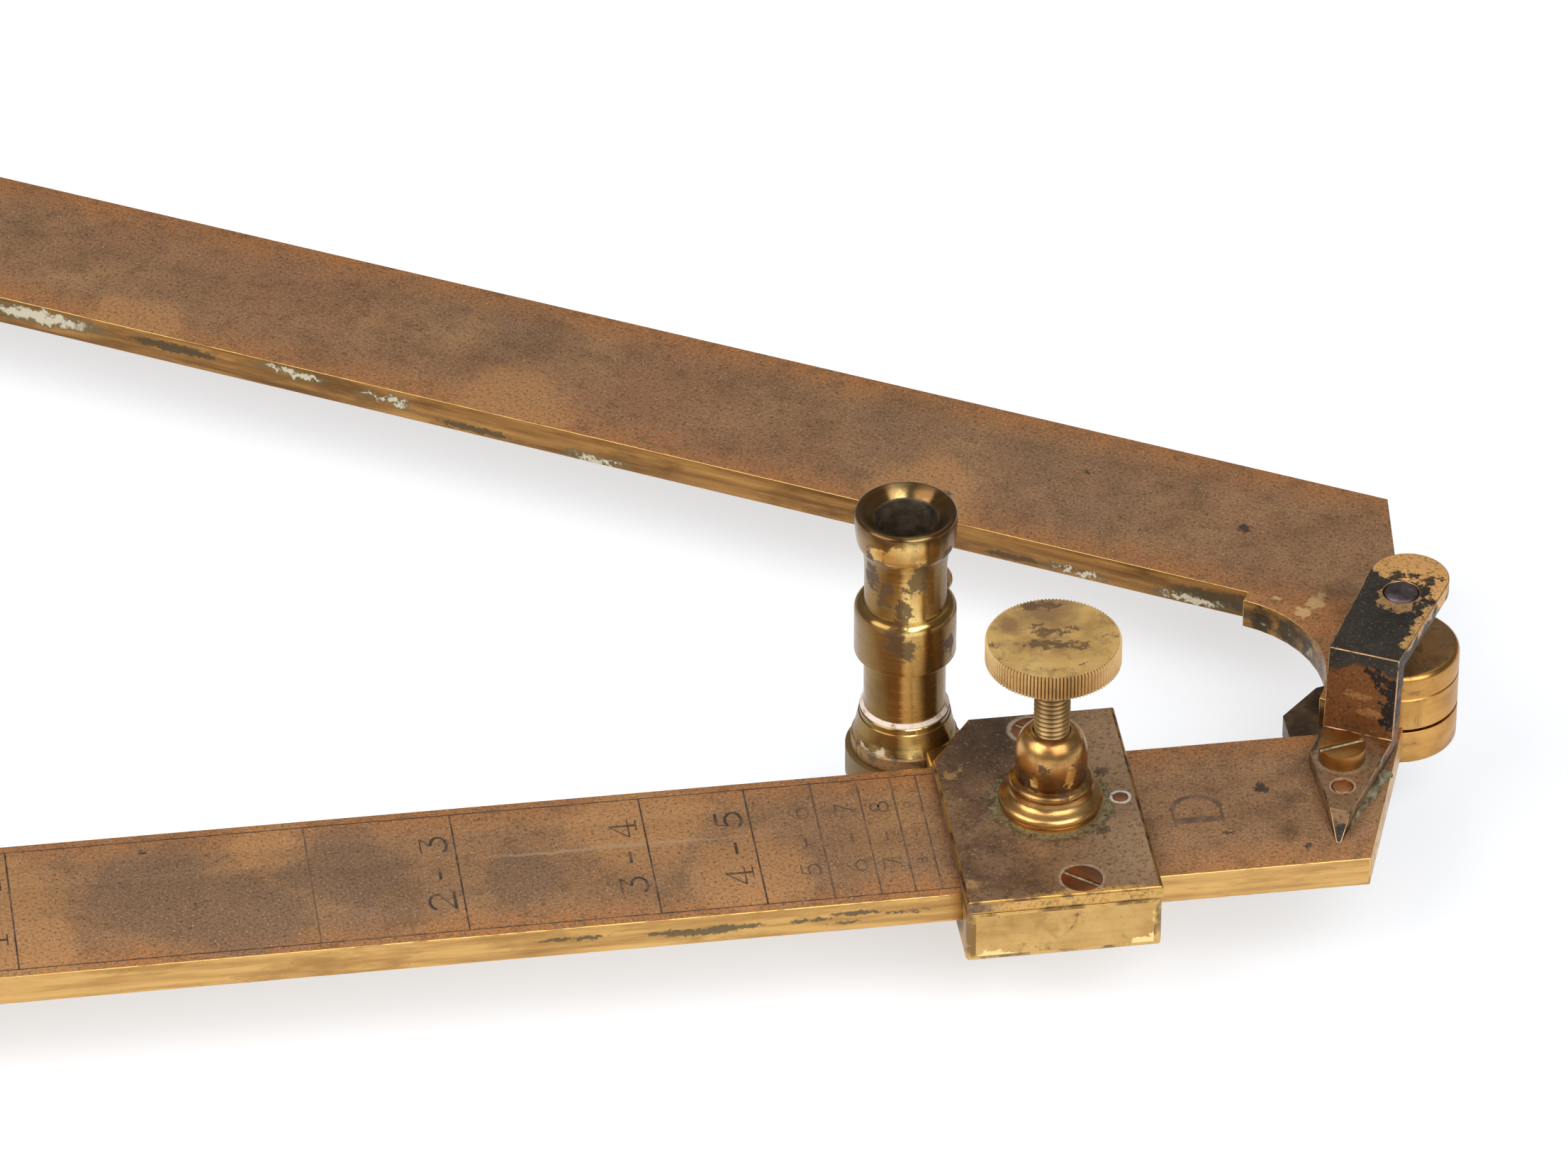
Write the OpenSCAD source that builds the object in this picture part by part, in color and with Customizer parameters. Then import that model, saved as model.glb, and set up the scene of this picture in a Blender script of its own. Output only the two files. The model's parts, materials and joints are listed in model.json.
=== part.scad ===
// Drawing pantograph: four brass arms, two sliding tubes, a fixed tracer tube and five castors.
// It stands on the table at z = 0, with the main joint at -X and the open corner at +X.
// Every arm lies outside its working line, the straight line through its joints and its tube.

/* [Arms] */
// Working length of a long arm, from the main joint to the tracer tube
long_len = 762; // [740:1:800]
// Side of the parallelogram, from joint to joint
side_len = 417; // [400:1:440]
// Angle between the long arms as it stands
fold_rest = 30; // [24:1:60]
// Width of every arm
arm_w = 23.8; // [21:0.1:28]
// Thickness of every arm
arm_t = 3.8; // [3.4:0.1:5]
// Distance from a working line to the inner edge of its arm
edge_in = 9.3; // [9.2:0.1:12]
// Length of arm past the last joint or tube at a square end
end_over = 10; // [7:0.5:16]
// Radius of the round ears that reach in to a working line
ear_r = 6.8; // [6.2:0.1:9]
// Setback of a cock's arm from its joint, at the inner edge
end_setback = 1.1; // [0.2:0.1:2]
// How far the slanted end of an arm that carries a cock runs back
cock_arm_slant = 8.3; // [4:0.1:9]
// Setback of a barrel's arm from its joint, at the inner edge
barrel_arm_setback = 2.3; // [0.5:0.1:3]
// How far the slanted end of an arm that carries a barrel runs back
barrel_arm_slant = 10.4; // [4:0.1:14]

/* [Double pivots] */
// Radius of the turned barrel and of the bearing below it
barrel_r = 7.1; // [6:0.1:8]
// Height of the barrel above the top of its arm
barrel_up = 2; // [1:0.1:3]
// Height of the cap on the barrel
cap_h = 3.2; // [2:0.1:4.5]
// Chamfer round the top of the cap
cap_chamfer = 0.8; // [0.3:0.1:1.5]
// Step where the neck leaves the inner edge of the arm
neck_step = 1.7; // [0.8:0.1:2.2]
// Drop of the lower bearing below the top of the arm
bearing_drop = 2.7; // [2.2:0.1:3.2]
// Thickness of the lower bearing
bearing_t = 4.3; // [3.8:0.1:6]
// Reach of the bearing's lug along its arm
lug_len = 13.4; // [13:0.1:16]
// Corner taken off the lug
lug_corner = 4.8; // [3:0.1:5.5]
// Width of the tongue that holds the lug under its arm
tongue_w = 9; // [6:0.5:14]
// Radius of the steel pivot
pivot_radius = 2.05; // [1.5:0.05:2.6]
// Depth of the pivot in the lower bearing
pivot_depth = 3; // [2.4:0.1:3.2]
// Height by which the pivot stands above the cock
pivot_proud = 0.2; // [0:0.1:0.6]

/* [Cock] */
// Height of the cock above its arm
cock_h = 12.4; // [11:0.1:15]
// Thickness of the cock's strap
cock_t = 2; // [1.6:0.1:2.6]
// Width of the cock's strap
cock_w = 9.3; // [8.8:0.1:10]
// Distance from the pivot to the top of the riser's outer face
cock_reach = 12.9; // [12:0.1:14]
// Lean of the riser, outwards at its bottom
cock_lean = 1.4; // [0.5:0.1:2.4]
// How much narrower the strap is at the riser, on one side
cock_taper = 0.9; // [0.3:0.1:1.4]
// Distance from the pivot to the tip of the foot
cock_foot = 32.2; // [30:0.1:34]
// Distance of the foot's tip from the middle of the strap
cock_tip_side = 3.2; // [2.6:0.1:3.6]
// Length of the slope at the foot's tip
cock_tip_slope = 3.4; // [2:0.1:4.5]
// Lean of the cock from square across the arm
cock_tilt = 28; // [20:1:32]
// Distance from the pivot to the centre of the cock's round end
cock_end_at = 3.2; // [2:0.1:4]
// Distance from the pivot to the cock's screw
cock_screw_at = 19.3; // [18.5:0.1:20]
// Distance of the cock's screw from the middle of the strap
cock_screw_side = 0.8; // [0.4:0.1:1]
// Radius of the head of the cock's screw
cock_head_r = 2.7; // [2.2:0.05:2.9]
// Height of the head of the cock's screw
cock_head_h = 1.9; // [1.5:0.1:3]
// Distance from the pivot to the steady pin
steady_at = 24.4; // [24:0.1:25.5]
// Distance of the steady pin from the middle of the strap
steady_side = 0.9; // [0.5:0.1:1.4]
// Radius of the steady pin
steady_r = 1.2; // [0.8:0.1:1.4]

/* [Middle pivots] */
// Radius of the pivots between long and short arms
pin_r = 2.5; // [2.2:0.1:3]
// Radius of the collar between long and short arms
collar_pin_r = 6; // [5:0.1:6.2]
// Height of the domed head on top of a middle pivot
dome_h = 2.4; // [1.5:0.1:4]
// Thickness of the riveted head under a middle pivot
rivet_t = 1.2; // [0.8:0.1:2]
// Radius of the riveted head under a middle pivot
rivet_r = 4.2; // [3.6:0.1:5]

/* [Sliders] */
// Distance from the scale arm's tube to the open corner
scale_tube_back = 58; // [50:0.1:120]
// Distance from the long arm's sliding tube to the end of its working line
long_tube_back = 55; // [46:0.1:140]
// Distance from the tube's axis to the near end of the slider
slider_x0 = 1.6; // [1:0.1:3]
// Length of the slider along its arm
slider_len = 22.4; // [21:0.1:26]
// Thickness of the slider's inner wall
wall_in = 6; // [5.4:0.1:6.4]
// Thickness of the slider's outer wall
wall_out = 3.9; // [3.6:0.1:5]
// Thickness of the slider's floor
floor_t = 3; // [2.5:0.05:4]
// Thickness of the slider's top plate
plate_t = 1.8; // [1.7:0.1:2.4]
// Length taken off the plate's corner beside the tube, along the arm
corner_x = 5.3; // [4.6:0.1:7]
// Length taken off the plate's corner beside the tube, across the arm
corner_y = 7.4; // [6.4:0.1:9]
// Clearance of the slider round its arm
slide_gap = 0.15; // [0.1:0.01:0.3]
// Height of a passing slider above the arm below it
pass_gap = 1; // [0.5:0.1:3]
// Radius of the lug that carries the tube
tube_lug_r = 6.85; // [6.6:0.05:8]
// Drop of the lug below the top of the arm
lug_drop = 3.2; // [2.4:0.1:3.6]
// Distance from the tube to the plate's outer screw, along the arm
plate_screw_at = 15.1; // [12:0.1:18]
// Distance from the arm's outer edge to the plate's outer screw
plate_screw_out = 1.3; // [1.25:0.05:1.5]
// Distance from the tube to the plate's inner screw, along the arm
inner_screw_at = 13.9; // [12:0.1:18]
// Distance from the arm's inner edge to the plate's inner screw
inner_screw_out = 3; // [1.25:0.05:3.3]
// Radius of the heads of the plate's screws
plate_head_r = 2.35; // [1.8:0.05:2.4]
// Depth of the heads of the plate's screws
plate_head_h = 1; // [0.6:0.1:1.2]
// Length of the plate's screws in the wall
plate_screw_len = 4; // [2.5:0.1:5]

/* [Clamp] */
// Distance from the tube to the clamp screw, along the arm
clamp_at = 13.8; // [13:0.1:14.4]
// Radius of the clamp screw
clamp_r = 2.1; // [1.8:0.05:2.4]
// Radius of the clamp screw's milled head
thumb_r = 7.75; // [6:0.05:9]
// Height of the clamp screw's milled head
thumb_h = 3.1; // [2:0.1:4]
// Height of the underside of the milled head above the arm
thumb_z = 22.1; // [19:0.1:26]
// Radius of the boss's flange
boss_flange_r = 6; // [5.4:0.05:7]
// Radius of the boss's bead
boss_bead_r = 4.85; // [4.6:0.05:5.2]
// Radius of the boss's bell
boss_bell_r = 4.15; // [3.6:0.05:4.4]
// Height of the boss
boss_h = 10.7; // [9.8:0.1:12.5]
// Thickness of the leaf spring under the clamp screw
leaf_t = 0.5; // [0.3:0.05:0.6]
// Width of the leaf spring
leaf_w = 6; // [5:0.1:8]
// Length of the leaf spring
leaf_len = 14; // [13:0.1:15]
// Distance from the tube to the leaf spring's rivet
leaf_rivet_at = 21.9; // [21:0.1:22.2]
// Radius of the leaf spring's rivet
leaf_rivet_r = 0.9; // [0.6:0.05:1.1]
// Thickness of the pad under the clamp screw
pad_t = 1; // [0.6:0.05:1.2]

/* [Tubes] */
// Radius of the bore that takes a pencil, a tracer or the fulcrum pin
bore_r = 3.65; // [3:0.05:4]
// Radius of the tube
tube_r = 4.75; // [4.5:0.05:5]
// Radius of the tube's collar
tube_collar_r = 5.9; // [5.5:0.05:6.4]
// Radius of the tube's flared mouth
mouth_r = 5.9; // [5.5:0.05:6.5]
// Height of the tube above its seat
tube_h = 33.2; // [31:0.1:37]
// Height of the collar's lower edge above the seat
collar_z = 13.6; // [12.6:0.1:14.6]
// Height of the collar
collar_h = 5.9; // [5.4:0.1:7]
// Height of the collar's rounded shoulder
shoulder_h = 1.2; // [0.5:0.1:1.6]
// Height of the mouth's flare and lip
flare_h = 8.2; // [7:0.1:9.2]
// Height of the bowl at the top of the flare
bowl_h = 4.3; // [3.5:0.1:5]
// Step from the tube out to the bottom of the bowl
cove_r = 0.7; // [0.4:0.05:0.9]
// Radius of the tube's conical foot
foot_r = 6.2; // [5.8:0.05:6.4]
// Height of the tube's conical foot
foot_h = 5.7; // [4.5:0.1:7]
// Wall of the foot round the tube
foot_wall = 0.45; // [0.35:0.05:0.8]
// Thickness of the foot's floor under the tube
foot_floor = 0.6; // [0.4:0.1:1]
// Wall of the spigot under the foot
spigot_wall = 0.55; // [0.4:0.05:0.9]
// Height of the tube's set screw above the seat
set_z = 16.6; // [16.2:0.1:17.2]
// Direction of the set screw from the arm, inwards
set_dir = 62; // [30:1:90]
// Radius of the set screw
set_r = 1.1; // [0.8:0.05:1.4]
// Radius of the set screw's head
set_head_r = 2.1; // [1.8:0.1:3]
// Thickness of the set screw's head
set_head_t = 1.6; // [1:0.1:2.4]
// Distance of the set screw's head from the collar
set_stand = 3.3; // [0.3:0.1:4]

/* [Castors] */
// Diameter of a castor wheel
wheel_d = 9; // [8:0.1:12]
// Width of a castor wheel
wheel_w = 3.6; // [3:0.1:5]
// Rounding of a wheel's rims
wheel_round = 0.8; // [0.3:0.1:1.2]
// Distance from the swivel to the axle
trail = 4.5; // [3.5:0.1:6]
// Thickness of the fork's crown
crown_t = 2.2; // [1.6:0.1:3]
// Radius of the fork's crown
crown_r = 4.2; // [3.8:0.1:5]
// Thickness of the fork's cheeks
cheek_t = 1.4; // [1:0.1:2]
// Width of the fork's cheeks
cheek_w = 5; // [4:0.1:6.5]
// Room round a wheel in its fork
wheel_gap = 0.6; // [0.4:0.1:1]
// Radius of an axle
axle_r = 0.8; // [0.6:0.05:1]
// Radius of the pillar on a fork
pillar_r = 3; // [2.4:0.1:3.6]
// Least height of the pillar on a fork
pillar_min = 0.5; // [0.4:0.1:2]
// Radius of the spigot that a fork swivels on
swivel_r = 1.2; // [0.9:0.05:1.4]
// Length of the swivel spigot in a middle pivot
swivel_len = 5.5; // [3:0.1:7]
// Depth of the boss for the main joint's castor, below the bearing
castor_boss = 2.8; // [2.4:0.1:4]
// Distance of the end castors from the ends of the working lines
castor_back = 14; // [11:0.5:18]

/* [Clearances] */
// Running clearance of turning pieces, on the radius
run_gap = 0.06; // [0.02:0.01:0.1]
// Clearance of seated pieces, on the radius
fit_gap = 0.02; // [0.01:0.01:0.05]
// End play between pieces that turn on each other
end_play = 0.3; // [0.2:0.05:0.5]

/* [Hidden] */
$fn = 64;
half = fold_rest / 2;
main_x = -side_len * cos(half);
mid_y = side_len * sin(half);
edge_out = edge_in + arm_w;
arm_mid = edge_in + arm_w / 2;
cock_arm_end = end_setback + cock_arm_slant;
barrel_end = barrel_arm_setback + barrel_arm_slant;
tongue_x = end_setback + cock_arm_slant * tongue_w / arm_w + end_play;
short_z = wheel_d + wheel_gap + crown_t + pillar_min + end_play + rivet_t + end_play;
short_top = short_z + arm_t;
long_z = short_top + pass_gap + floor_t + slide_gap;
long_top = long_z + arm_t;
neck_arc = barrel_r + edge_in - neck_step;
neck_len = neck_arc + barrel_r;
scale_tube_at = side_len - scale_tube_back;
long_tube_at = long_len - long_tube_back;
box_h = arm_t + slide_gap + floor_t;
box_y0 = edge_in - slide_gap - wall_in;
box_y1 = edge_out + slide_gap + wall_out;
clamp_y = (box_y0 + box_y1) / 2;
plate_screws_at = [
    [inner_screw_at, edge_in - inner_screw_out],
    [plate_screw_at, edge_out + plate_screw_out]
];
slider_x1 = slider_x0 + slider_len;
spigot_r = bore_r + spigot_wall;
cock_base = cock_reach + cock_lean;
cock_screw_r = 0.55 * cock_head_r;
plate_shank_r = 0.4 * plate_head_r;
leaf_gap = 0.05;
leaf_room = leaf_t + pad_t / 2;
pad_z = leaf_gap + leaf_t + fit_gap;
screw_tip_z = pad_z + pad_t + fit_gap;
fork_gap = wheel_w + 2 * end_play;
fork_w = fork_gap + 2 * cheek_t;
castor_x = long_len - castor_back;
bite = 0.5;
cut = 1;
seg = 8;

brown = "#8a6242";
brass = "#b98a45";
dark_bronze = "#5c4536";
copper = "#9a6a4a";
steel = "#7d7d86";
bone = "#e6dcc3";

// Points of an elliptical arc in a turned profile, [radius, height]
function arc(r, z, rx, rz, a0, a1) =
    [for (i = [0 : seg]) let (a = a0 + (a1 - a0) * i / seg) [r + rx * cos(a), z + rz * sin(a)]];

// Frames of the arms: x runs along the working line from the arm's first joint, y points outwards
module on_b() translate([main_x, 0, 0]) rotate(-half) mirror([0, 1, 0]) children();
module on_c() translate([main_x, 0, 0]) rotate(half) children();
module on_d() translate([0, -mid_y, 0]) rotate(half) mirror([0, 1, 0]) children();
module on_plain() translate([0, mid_y, 0]) rotate(-half) children();

// Frames of the joints, with z = 0 on the top of the arms that meet there
module at_r() on_d() translate([side_len, 0, short_top]) children();
module at_a() on_c() translate([0, 0, long_top]) children();
module joint(k) {
    if (k == "r") at_r() children();
    if (k == "a") at_a() children();
}

// Frame of a cock, with y from the pivot to the foot
module cock_frame(k) mirror([k == "a" ? 1 : 0, 0, 0]) rotate(cock_tilt) children();

// Frames of the sliders, with the tube's axis at the origin and z = 0 on the top of the arm
module slider(k) {
    if (k == "d") on_d() translate([scale_tube_at, 0, short_top]) children();
    if (k == "b") on_b() translate([long_tube_at, 0, long_top]) children();
}

// Frames of the tubes, with z = 0 on the seat of the foot
module tube_seat(k) {
    if (k == "c") on_c() translate([long_len, 0, long_top]) children();
    else slider(k) translate([0, 0, -lug_drop]) children();
}

// Frames of the castors, on the table under their swivels
module castor(k) {
    if (k == "a") on_c() children();
    if (k == "p") on_d() children();
    if (k == "q") on_plain() children();
    if (k == "b") on_b() translate([castor_x, arm_mid, 0]) children();
    if (k == "c") on_c() translate([castor_x, arm_mid, 0]) children();
}

bearing_bottom = -bearing_drop - bearing_t;
function castor_seat(k) =
    k == "a" ? long_top + bearing_bottom - castor_boss
    : k == "p" || k == "q" ? short_z - end_play - rivet_t
    : long_z;
function swivel_depth(k) =
    k == "a" ? castor_boss
    : k == "p" || k == "q" ? swivel_len
    : arm_t;

// Straight bar of an arm between two ends, each given at its inner and outer edge
module bar(in0, out0, in1, out1, z)
    translate([0, 0, z])
        linear_extrude(arm_t)
            polygon([[in0, edge_in], [in1, edge_in], [out1, edge_out], [out0, edge_out]]);

// Round ear that reaches from the bar to the working line
module ear(x, z, r)
    translate([x, 0, z]) {
        cylinder(r = r, h = arm_t);
        translate([-r, 0, 0]) cube([2 * r, edge_in + bite, arm_t]);
    }

// Curved neck beside a barrel; dir is the way from the barrel along its arm
module neck(x, dir, z)
    translate([x, 0, z]) mirror([dir < 0 ? 1 : 0, 0, 0]) difference() {
        translate([0, -barrel_r, 0]) cube([neck_len, barrel_r + edge_in + bite / 2, arm_t]);
        translate([neck_len, -barrel_r, -cut]) cylinder(r = neck_arc, h = arm_t + 2 * cut);
        translate([0, 0, -cut]) cylinder(r = barrel_r + fit_gap, h = arm_t + 2 * cut);
        translate([0, 0, -cut])
            cylinder(r = barrel_r + end_play, h = cut + arm_t - bearing_drop + end_play);
    }

module drill(x, y, z, r, h) translate([x, y, z - cut]) cylinder(r = r, h = h + 2 * cut);

// Blind holes in an arm for its cock's screw and steady pin
module cock_holes(k)
    joint_local(k) cock_frame(k) {
        translate([-cock_screw_side, cock_screw_at, -arm_t - cut])
            cylinder(r = cock_screw_r + fit_gap, h = arm_t + 2 * cut);
        translate([steady_side, steady_at, -arm_t - cut])
            cylinder(r = steady_r + fit_gap, h = arm_t + 2 * cut);
    }
module joint_local(k) {
    if (k == "r") translate([side_len, 0, short_top]) children();
    if (k == "a") translate([0, 0, long_top]) children();
}

// Long arm with the sliding tube: barrel at the main joint, ear at the middle pivot
module arm_b() color(brown) on_b() difference() {
    union() {
        bar(barrel_arm_setback, barrel_end, long_len + end_over, long_len + end_over, long_z);
        neck(0, 1, long_z);
        ear(side_len, long_z, ear_r);
    }
    drill(side_len, 0, long_z, pin_r + fit_gap, arm_t);
    drill(castor_x, arm_mid, long_z, swivel_r + run_gap, arm_t);
}

// Long arm with the tracer tube: cock at the main joint, ears at the middle pivot and the tube
module arm_c() color(brown) on_c() difference() {
    union() {
        bar(end_setback, cock_arm_end, long_len + end_over, long_len + end_over, long_z);
        ear(side_len, long_z, ear_r);
        ear(long_len, long_z, tube_lug_r);
    }
    drill(side_len, 0, long_z, pin_r + fit_gap, arm_t);
    drill(long_len, 0, long_z, spigot_r + fit_gap, arm_t);
    drill(castor_x, arm_mid, long_z, swivel_r + run_gap, arm_t);
    cock_holes("a");
}

// Short arm with the scale: ear at the middle pivot, cock at the open corner
module arm_d() color(brown) on_d() difference() {
    union() {
        bar(-end_over, -end_over, side_len - end_setback, side_len - cock_arm_end, short_z);
        ear(0, short_z, ear_r);
    }
    drill(0, 0, short_z, pin_r + run_gap, arm_t);
    cock_holes("r");
}

// Plain short arm: ear at the middle pivot, barrel at the open corner
module arm_plain() color(brown) on_plain() difference() {
    union() {
        bar(-end_over, -end_over, side_len - barrel_arm_setback, side_len - barrel_end, short_z);
        ear(0, short_z, ear_r);
        neck(side_len, -1, short_z);
    }
    drill(0, 0, short_z, pin_r + run_gap, arm_t);
}

// Turned barrel let into the neck of its arm
module barrel(k) color(brass) joint(k)
    translate([0, 0, end_play - bearing_drop]) difference() {
        cylinder(r = barrel_r, h = bearing_drop - end_play + barrel_up);
        drill(0, 0, 0, pivot_radius + fit_gap, bearing_drop + barrel_up);
    }

// Chamfered cap on the barrel
module barrel_cap(k) color(brass) joint(k) translate([0, 0, barrel_up])
    rotate_extrude() polygon([
        [pivot_radius + fit_gap, 0],
        [barrel_r, 0],
        [barrel_r, cap_h - cap_chamfer],
        [barrel_r - cap_chamfer, cap_h],
        [pivot_radius + fit_gap, cap_h]
    ]);

// Steel double pivot, from the lower bearing up through the cock
module pivot(k) color(steel) joint(k)
    translate([0, 0, -bearing_drop - pivot_depth])
        cylinder(r = pivot_radius, h = bearing_drop + pivot_depth + cock_h + pivot_proud);

// Lower bearing: a disc, the lug that carries it and the tongue under the arm
module bearing(k) {
    side = k == "r" ? -1 : 1;
    boss = k == "a" ? castor_boss : 0;
    lug_top = -arm_t - end_play;
    color(brass) joint(k) difference() {
        union() {
            translate([0, 0, bearing_bottom - boss]) cylinder(r = barrel_r, h = bearing_t + boss);
            translate([0, 0, bearing_bottom])
                linear_extrude(lug_top - bearing_bottom) polygon([
                    [0, 0],
                    [side * end_setback, edge_in],
                    [side * tongue_x, edge_in + tongue_w],
                    [side * lug_len, edge_in + tongue_w],
                    [side * lug_len, 0],
                    [side * (lug_len - lug_corner), -lug_corner],
                    [side * barrel_r * cos(60), -barrel_r * sin(60)]
                ]);
            translate([side < 0 ? -lug_len : tongue_x, edge_in + end_play, bearing_bottom])
                cube([lug_len - tongue_x, tongue_w - end_play, -arm_t - bearing_bottom]);
        }
        translate([0, 0, -bearing_drop - pivot_depth - end_play])
            cylinder(r = pivot_radius + run_gap, h = pivot_depth + end_play + cut);
        if (boss > 0)
            translate([0, 0, bearing_bottom - boss - cut]) cylinder(r = swivel_r + run_gap, h = boss + cut);
    }
}

// Cock: foot on the arm, leaning riser and strap over the barrel, clear of the neck that turns below
module cock(k) color(dark_bronze) joint(k) difference() {
    cock_frame(k) difference() {
        union() {
            translate([0, -cock_end_at, cock_h - cock_t]) cylinder(r = cock_w / 2, h = cock_t);
            intersection() {
                translate([-cock_w / 2, 0, 0]) rotate([90, 0, 90]) linear_extrude(cock_w) polygon([
                    [-cock_end_at, cock_h],
                    [cock_reach, cock_h],
                    [cock_base, cock_t],
                    [cock_foot - cock_tip_slope, cock_t],
                    [cock_foot, 0],
                    [cock_base - cock_t, 0],
                    [cock_reach - cock_t, cock_h - cock_t],
                    [-cock_end_at, cock_h - cock_t]
                ]);
                translate([0, 0, -cut]) linear_extrude(cock_h + 2 * cut) polygon([
                    [-cock_w / 2, -cock_end_at - cut],
                    [cock_w / 2, -cock_end_at - cut],
                    [cock_w / 2, -cock_end_at],
                    [cock_w / 2 - cock_taper, cock_reach],
                    [cock_w / 2 - cock_taper, cock_base],
                    [cock_tip_side, cock_foot + cut],
                    [-cock_w / 2, cock_screw_at]
                ]);
            }
        }
        drill(0, 0, cock_h - cock_t, pivot_radius + run_gap, cock_t);
        drill(-cock_screw_side, cock_screw_at, 0, cock_screw_r + fit_gap, cock_t);
        drill(steady_side, steady_at, 0, steady_r + fit_gap, cock_t);
    }
    translate([-2 * lug_len, -lug_len, -cut]) cube([4 * lug_len, lug_len + edge_in, cut + end_play]);
}

// Slotted screw, head up, with its head seated on z = 0
module slotted_screw(head_r, head_h, shank_r, shank_len) {
    slot_w = head_r / 4;
    difference() {
        union() {
            cylinder(r = head_r, h = head_h);
            translate([0, 0, -shank_len]) cylinder(r = shank_r, h = shank_len);
        }
        translate([-head_r - cut, -slot_w / 2, head_h / 2]) cube([2 * (head_r + cut), slot_w, head_h]);
    }
}

module cock_screw(k) color(copper) joint(k) cock_frame(k)
    translate([-cock_screw_side, cock_screw_at, cock_t]) rotate(25)
        slotted_screw(cock_head_r, cock_head_h, cock_screw_r, cock_t + arm_t - bite);

module steady_pin(k) color(copper) joint(k) cock_frame(k)
    translate([steady_side, steady_at, bite - arm_t]) cylinder(r = steady_r, h = cock_t + arm_t - bite);

// Middle pivot: domed head, shank in the long arm, collar, journal in the short arm, riveted end
module middle_pivot() {
    bottom = short_z - end_play - rivet_t;
    difference() {
        rotate_extrude() polygon(concat(
            [[0, bottom], [rivet_r, bottom], [rivet_r, short_z - end_play], [pin_r, short_z - end_play],
             [pin_r, short_top + end_play], [collar_pin_r, short_top + end_play], [collar_pin_r, long_z],
             [pin_r, long_z], [pin_r, long_top]],
            arc(0, long_top, collar_pin_r - cut, dome_h, 0, 90)
        ));
        translate([0, 0, bottom - cut]) cylinder(r = swivel_r + run_gap, h = cut + swivel_len);
    }
}
module pivot_p() color(brass) on_d() middle_pivot();
module pivot_q() color(brass) on_plain() middle_pivot();

// Channel of a slider, with the lug that carries its tube
module slider_box(k) color(brass) slider(k) difference() {
    union() {
        translate([slider_x0, box_y0, -box_h]) cube([slider_len, box_y1 - box_y0, box_h]);
        translate([0, 0, -box_h]) cylinder(r = tube_lug_r, h = box_h - lug_drop);
    }
    translate([slider_x0 - cut, edge_in - slide_gap, -arm_t - slide_gap])
        cube([slider_len + 2 * cut, arm_w + 2 * slide_gap, arm_t + slide_gap + cut]);
    translate([0, 0, -lug_drop]) cylinder(r = foot_r + end_play, h = lug_drop + cut);
    drill(0, 0, -box_h, spigot_r + fit_gap, box_h);
    for (at = plate_screws_at)
        translate([at.x, at.y, -plate_screw_len - fit_gap])
            cylinder(r = plate_shank_r + fit_gap, h = plate_screw_len + cut);
}

// Top plate of a slider, with a corner taken off beside the tube
module slider_plate(k) color(dark_bronze) slider(k) difference() {
    linear_extrude(plate_t) polygon([
        [slider_x0, box_y1],
        [slider_x1, box_y1],
        [slider_x1, box_y0],
        [slider_x0 + corner_x, box_y0],
        [slider_x0, box_y0 + corner_y]
    ]);
    drill(clamp_at, clamp_y, 0, clamp_r + run_gap, plate_t);
    drill(leaf_rivet_at, clamp_y, 0, leaf_rivet_r + fit_gap, plate_t);
    translate([slider_x1 - leaf_len - 2 * end_play, clamp_y - leaf_w / 2 - end_play, -cut])
        cube([leaf_len + 2 * end_play + cut, leaf_w + 2 * end_play, cut + leaf_room]);
    for (at = plate_screws_at) {
        drill(at.x, at.y, 0, plate_shank_r + fit_gap, plate_t);
        translate([at.x, at.y, plate_t - plate_head_h])
            cylinder(r = plate_head_r + fit_gap, h = plate_head_h + cut);
    }
}

module plate_screws(k) {
    head_z = plate_t - plate_head_h;
    color(copper) slider(k) for (at = plate_screws_at)
        translate([at.x, at.y, head_z]) rotate(40)
            slotted_screw(plate_head_r, plate_head_h, plate_shank_r, head_z + plate_screw_len);
}

// Leaf spring between the clamp screw's pad and the arm
module clamp_spring(k) color(brass) slider(k) difference() {
    translate([slider_x1 - leaf_len, clamp_y - leaf_w / 2, leaf_gap]) cube([leaf_len, leaf_w, leaf_t]);
    drill(leaf_rivet_at, clamp_y, 0, leaf_rivet_r + fit_gap, leaf_t);
}

// Rivet that holds the leaf spring under the plate, with a shoulder between the two
module spring_rivet(k) color(copper) slider(k) translate([leaf_rivet_at, clamp_y, 0]) {
    translate([0, 0, leaf_gap]) cylinder(r = leaf_rivet_r, h = plate_t - leaf_gap);
    translate([0, 0, leaf_gap + leaf_t]) cylinder(r = 1.7 * leaf_rivet_r, h = leaf_room - leaf_gap - leaf_t);
}

// Bell-shaped boss that the clamp screw is tapped through
module clamp_boss(k) {
    bead_z = 0.3 * boss_h;
    dome_z = 0.68 * boss_h;
    top_r = clamp_r + 4 * run_gap;
    color(brass) slider(k) translate([clamp_at, clamp_y, plate_t]) rotate_extrude() polygon(concat(
        [[clamp_r + run_gap, 0], [boss_flange_r - 0.35, 0]],
        arc(boss_flange_r - 0.9, 0.95, 0.9, 0.8, -40, 70),
        arc(boss_flange_r - 0.4, bead_z - 0.3, boss_flange_r - boss_bead_r, 0.45 * bead_z, 265, 185),
        arc(boss_bead_r - 0.35, bead_z + 0.1, 0.35, 0.35, -80, 80),
        [[boss_bell_r, bead_z + 0.6], [boss_bell_r, dome_z]],
        arc(top_r, dome_z, boss_bell_r - top_r, boss_h - dome_z, 0, 90),
        [[clamp_r + run_gap, boss_h]]
    ));
}

// Pad that the clamp screw presses on the leaf spring
module clamp_pad(k) color(copper) slider(k)
    translate([clamp_at, clamp_y, pad_z]) cylinder(r = clamp_r - fit_gap, h = pad_t);

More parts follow.
